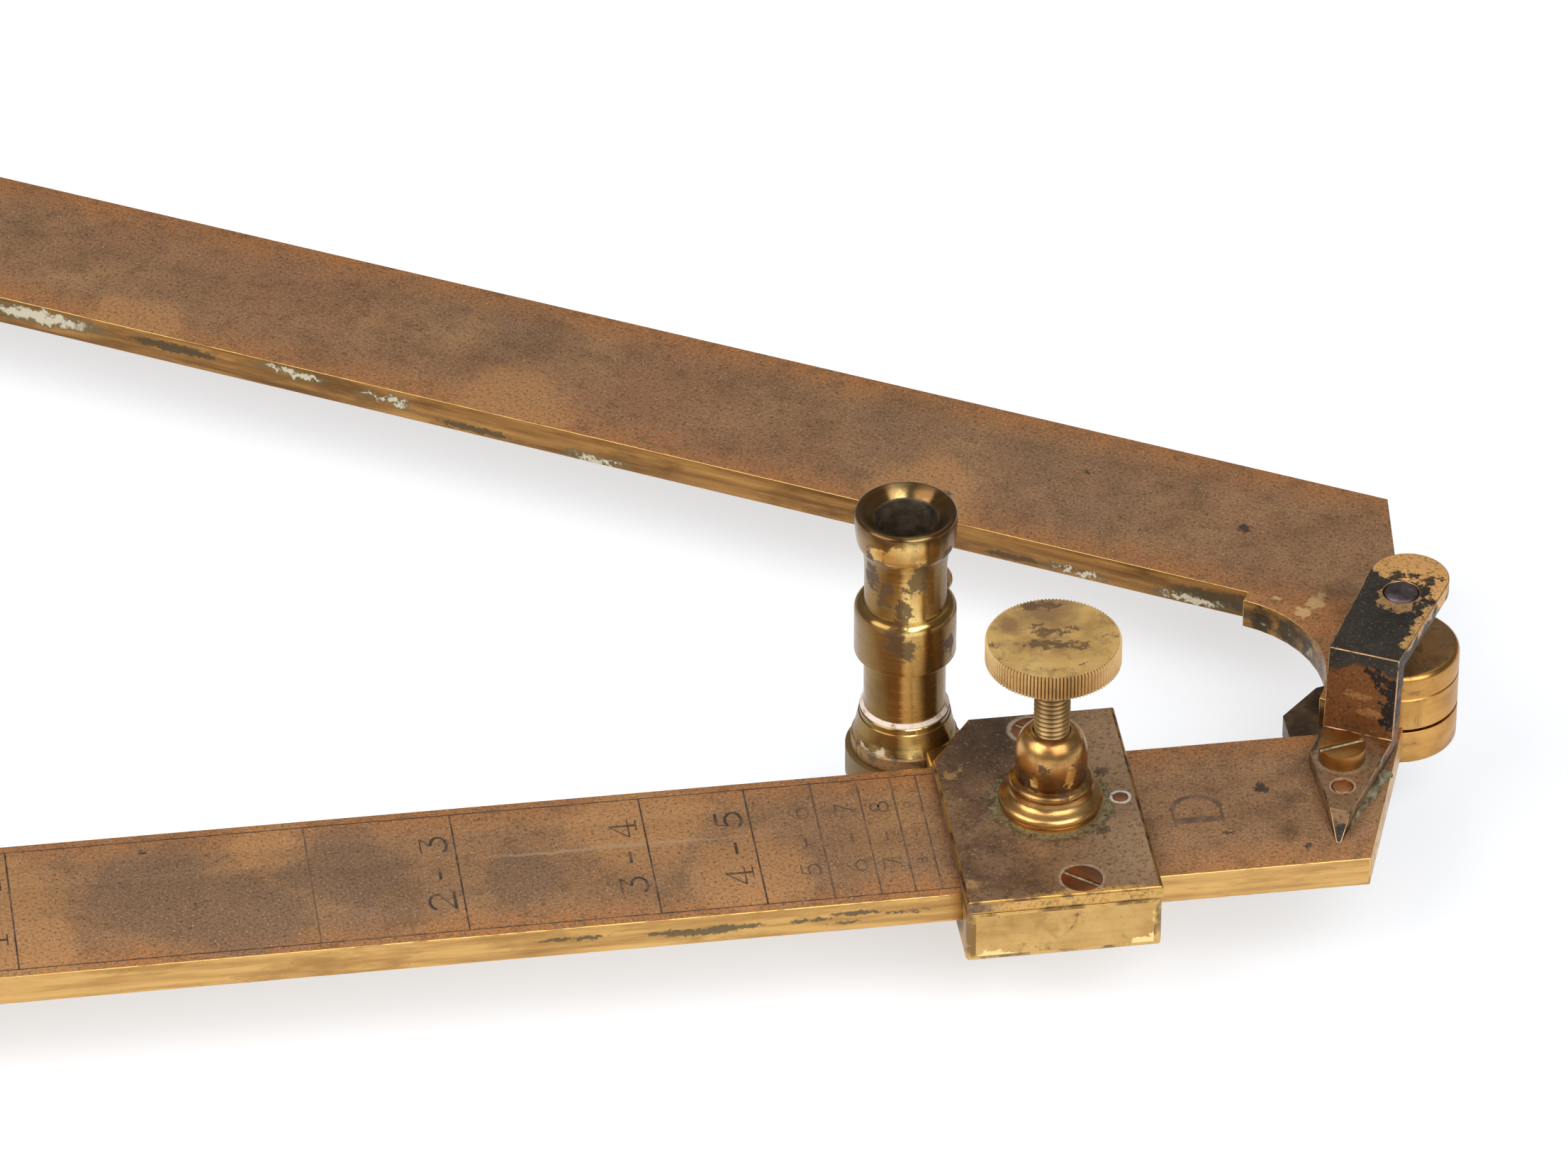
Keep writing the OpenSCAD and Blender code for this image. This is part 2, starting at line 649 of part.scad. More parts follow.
// Clamp screw with its milled head
module thumbscrew(k) color(brass) slider(k) translate([clamp_at, clamp_y, 0]) {
    translate([0, 0, screw_tip_z]) cylinder(r = clamp_r, h = thumb_z - screw_tip_z + bite);
    translate([0, 0, thumb_z]) cylinder(r = thumb_r, h = thumb_h);
}

// Conical foot of a tube, with a spigot through its lug
module tube_foot(k) {
    spigot_len = k == "c" ? arm_t : box_h - lug_drop;
    color(brass) tube_seat(k) rotate_extrude() polygon([
        [bore_r, -spigot_len],
        [spigot_r, -spigot_len],
        [spigot_r, 0],
        [foot_r, 0],
        [foot_r, foot_h / 3],
        [tube_r + fit_gap + foot_wall, foot_h],
        [tube_r + fit_gap, foot_h],
        [tube_r + fit_gap, foot_floor],
        [bore_r, foot_floor]
    ]);
}

// Tube with its collar and flared mouth, drilled for the set screw
module tube(k) {
    flare_z = tube_h - flare_h;
    lip = 0.8;
    throat = 1.6;
    color(brass) tube_seat(k) difference() {
        rotate_extrude() polygon(concat(
            [[bore_r, foot_floor + fit_gap], [tube_r, foot_floor + fit_gap], [tube_r, collar_z]],
            [[tube_collar_r - 0.5, collar_z], [tube_collar_r, collar_z + 0.6]],
            arc(tube_r, collar_z + collar_h, tube_collar_r - tube_r, shoulder_h, 0, 90),
            arc(tube_r + cove_r, flare_z, cove_r, flare_h - bowl_h, 180, 95),
            arc(tube_r + cove_r, tube_h - lip, mouth_r - tube_r - cove_r, bowl_h - lip, -85, 0),
            arc(mouth_r - lip, tube_h - lip, lip, lip, 10, 90),
            arc(mouth_r - lip, tube_h - throat, mouth_r - lip - bore_r, throat, 90, 180)
        ));
        rotate(-set_dir) translate([0, 0, set_z]) rotate([0, 90, 0])
            cylinder(r = set_r + run_gap, h = tube_collar_r + cut);
    }
}

// Set screw in the tube's collar
module tube_screw(k) color(copper) tube_seat(k) rotate(-set_dir) translate([0, 0, set_z]) rotate([0, 90, 0]) {
    translate([0, 0, bore_r + end_play]) cylinder(r = set_r, h = tube_collar_r + set_stand - bore_r);
    translate([0, 0, tube_collar_r + set_stand]) cylinder(r = set_head_r, h = set_head_t);
}

// Fork of a castor with its pillar and swivel spigot
module castor_fork(k) {
    top = castor_seat(k) - end_play;
    crown_z = wheel_d + wheel_gap;
    color(brass) castor(k) difference() {
        union() {
            translate([0, 0, crown_z]) cylinder(r = crown_r, h = crown_t);
            translate([-trail - cheek_w / 2, -fork_w / 2, crown_z])
                cube([trail + cheek_w / 2, fork_w, crown_t]);
            for (y = [fork_gap / 2, -fork_gap / 2 - cheek_t]) translate([-trail, y, wheel_d / 2]) {
                translate([-cheek_w / 2, 0, 0]) cube([cheek_w, cheek_t, crown_z - wheel_d / 2 + bite]);
                rotate([-90, 0, 0]) cylinder(r = cheek_w / 2, h = cheek_t);
            }
            translate([0, 0, crown_z]) cylinder(r = pillar_r, h = top - crown_z);
            translate([0, 0, top - bite]) cylinder(r = swivel_r, h = bite + swivel_depth(k));
        }
        translate([-trail, -fork_w, wheel_d / 2]) rotate([-90, 0, 0])
            cylinder(r = axle_r + fit_gap, h = 2 * fork_w);
    }
}

module castor_wheel(k) color(bone) castor(k)
    translate([-trail, 0, wheel_d / 2]) rotate([90, 0, 0]) rotate_extrude() polygon(concat(
        [[axle_r + run_gap, -wheel_w / 2]],
        arc(wheel_d / 2 - wheel_round, wheel_round - wheel_w / 2, wheel_round, wheel_round, -90, 0),
        arc(wheel_d / 2 - wheel_round, wheel_w / 2 - wheel_round, wheel_round, wheel_round, 0, 90),
        [[axle_r + run_gap, wheel_w / 2]]
    ));

module castor_axle(k) color(steel) castor(k)
    translate([-trail, -fork_w / 2, wheel_d / 2]) rotate([-90, 0, 0]) cylinder(r = axle_r, h = fork_w);

arm_b();
arm_c();
arm_d();
arm_plain();
barrel("r");  // barrel_r
barrel_cap("r");  // barrel_cap_r
pivot("r");  // pivot_r
bearing("r");  // bearing_r
cock("r");  // cock_r
cock_screw("r");  // cock_screw_r
steady_pin("r");  // steady_pin_r
barrel("a");  // barrel_a
barrel_cap("a");  // barrel_cap_a
pivot("a");  // pivot_a
bearing("a");  // bearing_a
cock("a");  // cock_a
cock_screw("a");  // cock_screw_a
steady_pin("a");  // steady_pin_a
pivot_p();
pivot_q();
slider_box("d");  // slider_box_d
slider_plate("d");  // slider_plate_d
plate_screws("d");  // plate_screws_d
spring_rivet("d");  // spring_rivet_d
clamp_spring("d");  // clamp_spring_d
clamp_boss("d");  // clamp_boss_d
clamp_pad("d");  // clamp_pad_d
thumbscrew("d");  // thumbscrew_d
tube_foot("d");  // tube_foot_d
tube("d");  // tube_d
tube_screw("d");  // tube_screw_d
slider_box("b");  // slider_box_b
slider_plate("b");  // slider_plate_b
plate_screws("b");  // plate_screws_b
spring_rivet("b");  // spring_rivet_b
clamp_spring("b");  // clamp_spring_b
clamp_boss("b");  // clamp_boss_b
clamp_pad("b");  // clamp_pad_b
thumbscrew("b");  // thumbscrew_b
tube_foot("b");  // tube_foot_b
tube("b");  // tube_b
tube_screw("b");  // tube_screw_b
tube_foot("c");  // tube_foot_c
tube("c");  // tube_c
tube_screw("c");  // tube_screw_c
castor_fork("a");  // castor_fork_a
castor_wheel("a");  // castor_wheel_a
castor_axle("a");  // castor_axle_a
castor_fork("p");  // castor_fork_p
castor_wheel("p");  // castor_wheel_p
castor_axle("p");  // castor_axle_p
castor_fork("q");  // castor_fork_q
castor_wheel("q");  // castor_wheel_q
castor_axle("q");  // castor_axle_q
castor_fork("b");  // castor_fork_b
castor_wheel("b");  // castor_wheel_b
castor_axle("b");  // castor_axle_b
castor_fork("c");  // castor_fork_c
castor_wheel("c");  // castor_wheel_c
castor_axle("c");  // castor_axle_c
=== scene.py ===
import json
import math
from functools import partial

import bmesh
import bpy
from mathutils import Matrix, Vector, noise


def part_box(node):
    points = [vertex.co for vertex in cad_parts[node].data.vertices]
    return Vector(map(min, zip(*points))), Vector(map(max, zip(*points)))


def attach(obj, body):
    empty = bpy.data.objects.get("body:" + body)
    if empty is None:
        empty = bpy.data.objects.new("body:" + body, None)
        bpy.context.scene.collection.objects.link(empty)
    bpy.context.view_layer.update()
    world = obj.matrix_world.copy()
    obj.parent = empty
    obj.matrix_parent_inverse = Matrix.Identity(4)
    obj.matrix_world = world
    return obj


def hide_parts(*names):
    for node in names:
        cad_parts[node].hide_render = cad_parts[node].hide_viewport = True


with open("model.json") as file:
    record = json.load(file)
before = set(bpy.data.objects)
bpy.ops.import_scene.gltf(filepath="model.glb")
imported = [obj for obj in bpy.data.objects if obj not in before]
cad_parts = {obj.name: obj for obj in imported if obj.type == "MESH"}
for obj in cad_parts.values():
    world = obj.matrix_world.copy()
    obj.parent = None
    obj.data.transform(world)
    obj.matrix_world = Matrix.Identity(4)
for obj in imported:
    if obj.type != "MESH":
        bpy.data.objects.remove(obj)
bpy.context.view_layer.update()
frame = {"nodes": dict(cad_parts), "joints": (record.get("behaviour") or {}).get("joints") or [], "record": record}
nodes = frame["nodes"]
joints = {j["name"]: j for j in frame["joints"]}
mounts = {m["name"]: m for m in frame["record"]["mounts"]}
bodyOf = {n: body for body, held in frame["record"]["behaviour"]["bodies"].items() for n in held}
mm = 0.001
up = Vector((0, 0, 1))
print("frame loaded:", len(nodes), "nodes")


# Each arm starts at its first joint and lies on the outer side of its working line
half = math.atan2(joints["slide_d"]["axis"][1], joints["slide_d"]["axis"][0])
barSize = {"inner": 9.3, "width": 23.8}  # mm: inner edge from the working line, width
barMiddle = barSize["inner"] + barSize["width"] / 2


# A frame of reference: a point on an arm's top, x along the arm, y towards its outer side
def armFrame(arm, joint, turn, side):
    at = Vector(joints[joint]["pos_m"])
    at.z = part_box(arm)[1].z
    along = Vector((math.cos(turn), math.sin(turn), 0))
    return {"at": at, "x": along, "y": Vector((-along.y, along.x, 0)) * side}


def onFrame(ref, x, y, z=0):  # mm from the frame's point
    return ref["at"] + (ref["x"] * x + ref["y"] * y + up * z) * mm


arms = {
    "arm_b": armFrame("arm_b", "fold", -half, -1),
    "arm_c": armFrame("arm_c", "fold", half, 1),
    "arm_d": armFrame("arm_d", "middle_p", half, -1),
    "arm_plain": armFrame("arm_plain", "middle_q", -half, 1),
}
sliders = {}  # at the tube's axis
for k, arm in (("d", "arm_d"), ("b", "arm_b"), ("c", "arm_c")):
    tubeAt = Vector(mounts["tube_bore_" + k]["pos_m"])
    tubeAt.z = arms[arm]["at"].z
    sliders[k] = {**arms[arm], "at": tubeAt}
clampAt = (13.8, 20.15)  # mm from the tube's axis to the clamp screw
clamps = {k: {**sliders[k], "at": onFrame(sliders[k], *clampAt)} for k in "db"}
cockLean = math.radians(28)  # turn of the cock from square across its arm
cocks = {}  # at the pivot, with y towards the cock's foot
for k, arm, back in (("r", "arm_d", -1), ("a", "arm_c", 1)):
    at = sum(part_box("pivot_" + k), Vector()) / 2
    at.z = arms[arm]["at"].z
    out = arms[arm]["y"]
    inward = arms[arm]["x"] * back
    foot = out * math.cos(cockLean) + inward * math.sin(cockLean)
    across = out * math.sin(cockLean) - inward * math.cos(cockLean)
    cocks[k] = {"at": at, "x": across, "y": foot, "out": out, "inward": inward}


# Colours are sRGB hex values
def tone(code):
    parts = [int(code[i:i + 2], 16) / 255 for i in (0, 2, 4)]
    linear = [p / 12.92 if p <= 0.04045 else ((p + 0.055) / 1.055) ** 2.4 for p in parts]
    return (*linear, 1.0)


def fill(tree, sockets, values):  # links and constants
    for key, value in values.items():
        if isinstance(value, bpy.types.NodeSocket):
            tree.links.new(value, sockets[key])
        else:
            sockets[key].default_value = value


# Adds a node with its settings, links and ramp, and gives its outputs
def addNode(tree, kind, inputs=None, ramp=(), **settings):
    made = tree.nodes.new("ShaderNode" + kind)
    for key, value in settings.items():
        setattr(made, key, value)
    fill(tree, made.inputs, inputs or {})
    for i, (at, colour) in enumerate(ramp):
        stops = made.color_ramp.elements
        if i == len(stops):
            stops.new(1)
        stops[i].position = at
        stops[i].color = tone(colour)
    return made.outputs


def surfaced(made, values):
    fill(made.node_tree, made.node_tree.nodes["Principled BSDF"].inputs, values)
    return made


even = (1, 1, 1)  # no stretch


# Starts a material and its noises: mm across, detail, roughness, and for some distortion and stretch
def startMaterial(name, ref, metallic, roughness, patterns):
    made = bpy.data.materials.new(name)
    made.use_nodes = True
    add = partial(addNode, made.node_tree)
    coords = add("TexCoord")["Object"]
    if ref:  # coordinates of the piece's own frame, still in metres
        moved = add("VectorMath", {0: coords, 1: ref["at"]}, operation="SUBTRACT")[0]
        axes = [add("VectorMath", {0: moved, 1: axis}, operation="DOT_PRODUCT")["Value"]
                for axis in (ref["x"], ref["y"], up)]
        coords = add("CombineXYZ", dict(enumerate(axes)))[0]
    noises = {}
    for key, given in patterns.items():
        size, detail, rough, warp, stretch = (*given, 0, even)[:5]
        spread = coords if stretch == even else add("Mapping", {0: coords, 3: stretch})[0]
        noises[key] = add("TexNoise", {0: spread, "Scale": 1 / (size * mm), "Detail": detail,
                                       "Roughness": rough, "Distortion": warp})[0]
    return surfaced(made, {"Metallic": metallic, "Roughness": roughness}), add, coords, noises


# Lays a hex colour over another where a pattern runs from bare to full
def coat(add, under, over, pattern, bare, full, strength=1.0):
    share = add("MapRange", {0: pattern, 1: bare, 2: full, 4: strength})[0]
    return add("Mix", {0: share, 6: under, 7: tone(over)}, data_type="RGBA")[2]


fraying = {"detail": 7, "rough": 0.68, "jag": 4.5, "most": 1.2}  # a spot's edge sways with its reach


# How near a place is to the nearest of some spots, under 1 inside one; spots are (x, y, z, reach) in mm
def nearSpots(add, coords, spots, ragged, stretch=even, jag=0.0):
    wobble = add("TexNoise", {0: coords, "Scale": 1 / (ragged * mm), "Detail": fraying["detail"],
                              "Roughness": fraying["rough"]})[1]
    jag = jag or fraying["jag"] * min(fraying["most"], max(reach for *_, reach in spots))
    swing = Vector(even) * jag * mm
    moved = add("VectorMath", {0: wobble, 1: swing, 2: coords}, operation="MULTIPLY_ADD")[0]
    moved = add("VectorMath", {0: moved, 1: stretch}, operation="MULTIPLY")[0]
    nearest = None
    for x, y, z, reach in spots:
        at = (Vector((x, y, z)) * mm + swing / 2) * Vector(stretch)
        gap = add("VectorMath", {0: moved, 1: at}, operation="DISTANCE")["Value"]
        share = add("Math", {0: gap, 1: reach * mm}, operation="DIVIDE")[0]
        nearest = add("Math", {0: nearest, 1: share}, operation="MINIMUM")[0] if nearest else share
    return nearest


# Rolled brass bar gone brown with age: a matt speckled top, gold at its edges, and brighter drawn sides
barPatterns = {
    "cloud": (10, 8, 0.62), "slow": (38, 4, 0.6), "mottle": (2.4, 8, 0.72), "grain": (0.42, 4, 0.75),
    "fine": (0.28, 2, 0.6), "blot": (4.2, 6, 0.6, 0.5, even), "streak": (0.9, 5, 0.6, 0, (0.05, 1, 1)),
    "smear": (3.2, 7, 0.68, 0, (0.25, 1, 1)),
}
barStains = {  # tone, mm of fraying, stretch, sway in mm, reach where it starts and is full, strength
    "warm": ("c8925c", 6, even, 12, 1.15, 0.8, 0.65),
    "dull": ("866850", 6, even, 12, 1.15, 0.8, 0.65),
    "bare": ("d8b078", 1.4, even, 2.6, 1.1, 0.9, 0.95),
    # grimeAndShade: dirt and painted shade around the cocks' feet
    "grimeAndShade": ("4a3524", 2.5, even, 7, 1.8, 0.2, 0.55),
    "spots": ("2e302b", 0.8, even, 0, 1.15, 0.7, 0.85),
    "scuff": ("b79a7c", 6, (0.02, 1, 1), 0, 1.1, 0.6, 0.6),
}


def stained(add, coords, under, look, keys):
    for key in keys:
        colour, ragged, stretch, jag, bare, full, strength = barStains[key]
        if look[key]:
            spots = [(x, y, 0, reach) for x, y, reach in look[key]]
            near = nearSpots(add, coords, spots, ragged, stretch, jag)
            under = coat(add, under, colour, near, bare, full, strength)
    return under


def agedBar(name, ref, look):
    made, add, coords, noises = startMaterial(name, ref, 0.4, 0.5, barPatterns)
    cloud, slow, grain, blot, streak = (noises[key] for key in ("cloud", "slow", "grain", "blot", "streak"))
    y = add("SeparateXYZ", {0: coords})["Y"]
    offMiddle = add("Math", {0: y, 1: barMiddle * mm}, operation="SUBTRACT")[0]
    across = add("Math", {0: offMiddle}, operation="ABSOLUTE")[0]
    facing = add("SeparateXYZ", {0: add("NewGeometry")["Normal"]})["Z"]
    onTop = add("MapRange", {0: facing, 1: 0.35, 2: 0.75})[0]

    brown = add("ValToRGB", {0: cloud}, ramp=zip((0.3, 0.5, 0.7), look["tones"]))[0]
    brown = coat(add, brown, look["red"], slow, 0.45, 0.62, 0.7)
    brown = coat(add, brown, look["grey"], slow, 0.47, 0.34, 0.6)
    fringe = add("MapRange", {0: across, 1: look["paleFrom"] * mm, 2: barSize["width"] / 2 * mm})[0]
    fringe = add("Math", {0: fringe, 1: cloud}, operation="MULTIPLY")[0]
    brown = coat(add, brown, look["edge"], fringe, 0.1, 0.55, 0.95)
    brown = coat(add, brown, look["tones"][0], noises["mottle"], 0.5, 0.34, 0.75)
    brown = stained(add, coords, brown, look, ("warm", "dull"))
    brown = coat(add, brown, "4a3626", grain, 0.5, 0.32, 0.9)
    brown = coat(add, brown, "dcbd98", noises["fine"], 0.58, 0.74, 0.8)
    brown = coat(add, brown, "55483c", blot, 0.28, 0.18, 0.7)
    brown = stained(add, coords, brown, look, ("bare", "grimeAndShade", "spots", "scuff"))

    gold = add("ValToRGB", {0: streak}, ramp=zip((0.3, 0.5, 0.7), look["sides"]))[0]
    gold = coat(add, gold, look["sides"][0], noises["smear"], 0.52, 0.36, 0.85)
    gold = coat(add, gold, "5a4c38", grain, 0.36, 0.26, 0.7)
    near = nearSpots(add, coords, look["sideStains"], 0.9, (0.16, 1, 1.5), 1.7)
    gold = coat(add, gold, look["stain"], near, 1.1, 0.85, 0.85)
    if look["crust"]:
        near = nearSpots(add, coords, look["crust"], 1.6, (0.14, 1, 1))
        gold = coat(add, gold, "6d6043", near, 1.5, 1.1, 0.8)
        gold = coat(add, gold, "d3c7ac", near, 1.0, 0.7, 0.9)
    if look["neck"]:
        filth = nearSpots(add, coords, look["neck"], 2)
        gold = coat(add, gold, "3c3323", filth, 1.35, 0.9, 0.9)
        flakes = add("MapRange", {0: blot, 1: 0.43, 2: 0.56})[0]
        flakes = add("Math", {0: flakes, 1: filth}, operation="SUBTRACT")[0]
        gold = coat(add, gold, "a8997a", flakes, 0.0, 0.4, 0.85)

    matt = add("MapRange", {0: grain, 1: 0.3, 2: 0.7, 3: 0.66, 4: 0.46})[0]
    satin = add("MapRange", {0: streak, 1: 0.3, 2: 0.7, 3: 0.42, 4: 0.28})[0]
    return surfaced(made, {
        "Base Color": add("Mix", {0: onTop, 6: gold, 7: brown}, data_type="RGBA")[2],
        "Metallic": add("MapRange", {0: onTop, 3: 0.9, 4: 0.42})[0],
        "Roughness": add("Mix", {0: onTop, 2: satin, 3: matt})[0],
        "Normal": add("Bump", {"Height": grain, "Strength": 0.35, "Distance": 0.06 * mm})[0],
    })


# Brass worn bare where hands and boxes rub: soft gold, broken by what patina is left
def rubbedEdge(name, gold, patina, bare):
    made, add, coords, noises = startMaterial(name, None, 0.95, 0.34, {"wear": (4, 6, 0.6)})
    colour = coat(add, tone(gold), patina, noises["wear"], bare + 0.05, bare - 0.05)
    return surfaced(made, {"Base Color": colour})


# Lathe-turned brass: polished gold drawn into upright streaks by the tool's rings, and ragged dark tarnish
def turnedBrass(name, ref, look):
    made, add, coords, noises = startMaterial(name, ref, look["metal"], 0.25, {
        "line": (0.45, 4, 0.65, 0, (0.03, 0.03, 1)), "cloud": (6, 5, 0.6), "fleck": (0.5, 3, 0.6),
        "patch": (look["patch"], 9, 0.6, 1.0, even)})
    line, patch = noises["line"], noises["patch"]
    metal, rough, halo, tarnish = (look[key] for key in ("metal", "rough", "halo", "tarnish"))
    gold = add("ValToRGB", {0: noises["cloud"]}, ramp=zip((0.3, 0.5, 0.72), look["tones"]))[0]
    if look["highlightBands"]:  # painted reflection: bright along the front, darker to the sides
        parts = add("SeparateXYZ", {0: coords})
        width, lip = look["highlightWidth"] * mm, look["lip"]
        side = add("MapRange", {0: parts["X"], 1: -width, 2: width})[0]
        side = add("Math", {0: line, 1: 0.1, 2: side}, operation="MULTIPLY_ADD")[0]
        highlightBands = add("ValToRGB", {0: side}, ramp=[(at + 0.05, colour) for at, colour in look["highlightBands"]])[0]
        gold = add("Mix", {0: 0.8, 6: gold, 7: highlightBands}, data_type="RGBA")[2]
        worn = add("Math", {0: patch, 1: 4 * mm, 2: parts["Z"]}, operation="MULTIPLY_ADD")[0]
        gold = coat(add, gold, tarnish, worn, (lip + 1.2) * mm, (lip + 2.2) * mm, 0.8)
    gold = coat(add, gold, look["tones"][0], line, 0.55, 0.75, 0.25)
    if look["shade"]:
        near = nearSpots(add, coords, look["shade"], 2.5)
        gold = coat(add, gold, halo, near, 1.5, 0.6, 0.75)
    least = look["tarnished"]
    gold = coat(add, gold, halo, patch, least + 0.13, least, 0.5)
    dull = add("MapRange", {0: patch, 1: least + 0.02, 2: least - 0.03, 4: 0.8})[0]
    if look["stains"]:
        near = nearSpots(add, coords, look["stains"], look["ragged"], look["stretch"])
        shadow = add("MapRange", {0: near, 1: 1.12, 2: 0.85, 4: 0.85})[0]
        dull = add("Math", {0: dull, 1: shadow}, operation="MAXIMUM")[0]
    colour = add("Mix", {0: dull, 6: gold, 7: tone(tarnish)}, data_type="RGBA")[2]
    colour = coat(add, colour, tarnish, noises["fleck"], 0.34, 0.26, 0.6)
    shine = add("MapRange", {0: dull, 3: metal, 4: 0.35 * metal})[0]
    if look["bright"]:
        near = nearSpots(add, coords, look["bright"], 0.9, look["brightStretch"], 2.4)
        colour = coat(add, colour, look["brightTone"], near, 1.08, 0.92, 0.95)
    if look["groove"]:  # painted shade: darker in the roots of a thread or knurling
        flat = add("VectorMath", {0: coords, 1: (1, 1, 0)}, operation="MULTIPLY")[0]
        out = add("VectorMath", {0: flat}, operation="LENGTH")["Value"]
        root, crest = look["groove"]
        colour = coat(add, colour, tarnish, out, crest * mm, root * mm, 0.95)
    if look["crust"]:
        near = nearSpots(add, coords, look["crust"], 0.9)
        colour = coat(add, colour, "cbb79c", near, 1.08, 0.85, 0.9)
        chalk = add("MapRange", {0: near, 1: 0.85, 2: 1.08})[0]
        shine = add("Math", {0: shine, 1: chalk}, operation="MULTIPLY")[0]
    polish = add("MapRange", {0: line, 1: 0.3, 2: 0.7, 3: rough - 0.06, 4: rough + 0.1})[0]
    return surfaced(made, {
        "Base Color": colour,
        "Metallic": shine,
        "Roughness": add("Mix", {0: dull, 2: polish, 3: 0.48})[0],
        "Anisotropic": look["brushed"],
        "Anisotropic Rotation": 0.25,
        "Tangent": add("Tangent", direction_type="RADIAL", axis="Z")[0],
        "Normal": add("Bump", {"Height": line, "Strength": 0.15, "Distance": 0.03 * mm})[0],
    })


# Bronzed brass: a thin dark brown skin with a purple cast, peppered with dust and rubbed through in places
bronzeLayer = {"ragged": 1.0, "stretch": even, "jag": 0.0, "soft": 0.05, "strength": 0.95}


def bronzed(name, ref, look):
    made, add, coords, noises = startMaterial(name, ref, 0.5, 0.45, {
        "cloud": (7, 6, 0.6), "grain": (0.5, 4, 0.75), "dust": (0.32, 2, 0.6)})
    grain = noises["grain"]
    colour = add("ValToRGB", {0: noises["cloud"]}, ramp=zip((0.32, 0.5, 0.7), look["tones"]))[0]
    for over, spots, given in look["layers"]:  # tone, spots, and what differs from a plain layer
        ragged, stretch, jag, soft, strength = {**bronzeLayer, **given}.values()
        near = nearSpots(add, coords, spots, ragged, stretch, jag)
        colour = coat(add, colour, over, near, 1 + soft, 1 - soft, strength)
    colour = coat(add, colour, look["tones"][0], grain, 0.5, 0.32, 0.8)
    return surfaced(made, {
        "Base Color": coat(add, colour, "d8bd98", noises["dust"], 0.6, 0.76, look["dust"]),
        "Roughness": add("MapRange", {0: grain, 1: 0.3, 2: 0.7, 3: 0.58, 4: 0.38})[0],
        "Normal": add("Bump", {"Height": grain, "Strength": 0.35, "Distance": 0.06 * mm})[0],
    })


# Metal left rough from the mould or the file: dull, with pits, and brown or grey with age
def roughMetal(name, tones, pit, metal):
    made, add, coords, noises = startMaterial(name, None, metal, 0.55, {
        "cloud": (2.4, 8, 0.65), "pits": (0.8, 5, 0.6)})
    pits = noises["pits"]
    return surfaced(made, {
        "Base Color": add("ValToRGB", {0: noises["cloud"]}, ramp=zip((0.32, 0.5, 0.7), tones))[0],
        "Roughness": add("MapRange", {0: pits, 1: 0.3, 2: 0.7, 3: 0.62, 4: 0.34})[0],
        "Normal": add("Bump", {"Height": pits, "Strength": 0.5, "Distance": pit * mm})[0],
    })


# Turned ivory-coloured bone: smooth, faintly streaked along the grain, with a soft sheen
def turnedBone(name, tones):
    made, add, coords, noises = startMaterial(name, None, 0.0, 0.35, {
        "grain": (0.7, 6, 0.6, 0, (1, 1, 0.15))})
    colour = add("ValToRGB", {0: noises["grain"]}, ramp=zip((0.3, 0.5, 0.7), tones))[0]
    return surfaced(made, {"Base Color": colour})


# Dry verdigris and polish left in corners: a chalky crust, greenish or pinkish cream
def chalkyCrust(name, tones):
    made, add, coords, noises = startMaterial(name, None, 0.0, 0.85, {"cloud": (1.3, 6, 0.65)})
    cloud = noises["cloud"]
    return surfaced(made, {
        "Base Color": add("ValToRGB", {0: cloud}, ramp=zip((0.34, 0.46, 0.66), tones))[0],
        "Normal": add("Bump", {"Height": cloud, "Strength": 0.6, "Distance": 0.15 * mm})[0],
    })


# Black wax rubbed into the engraving: dull, brown where it has worn thin
def engraversWax(name, thick, thin):
    made, add, coords, noises = startMaterial(name, None, 0.0, 0.7, {"wear": (2.2, 6, 0.7)})
    return surfaced(made, {"Base Color": coat(add, tone(thick), thin, noises["wear"], 0.46, 0.7)})
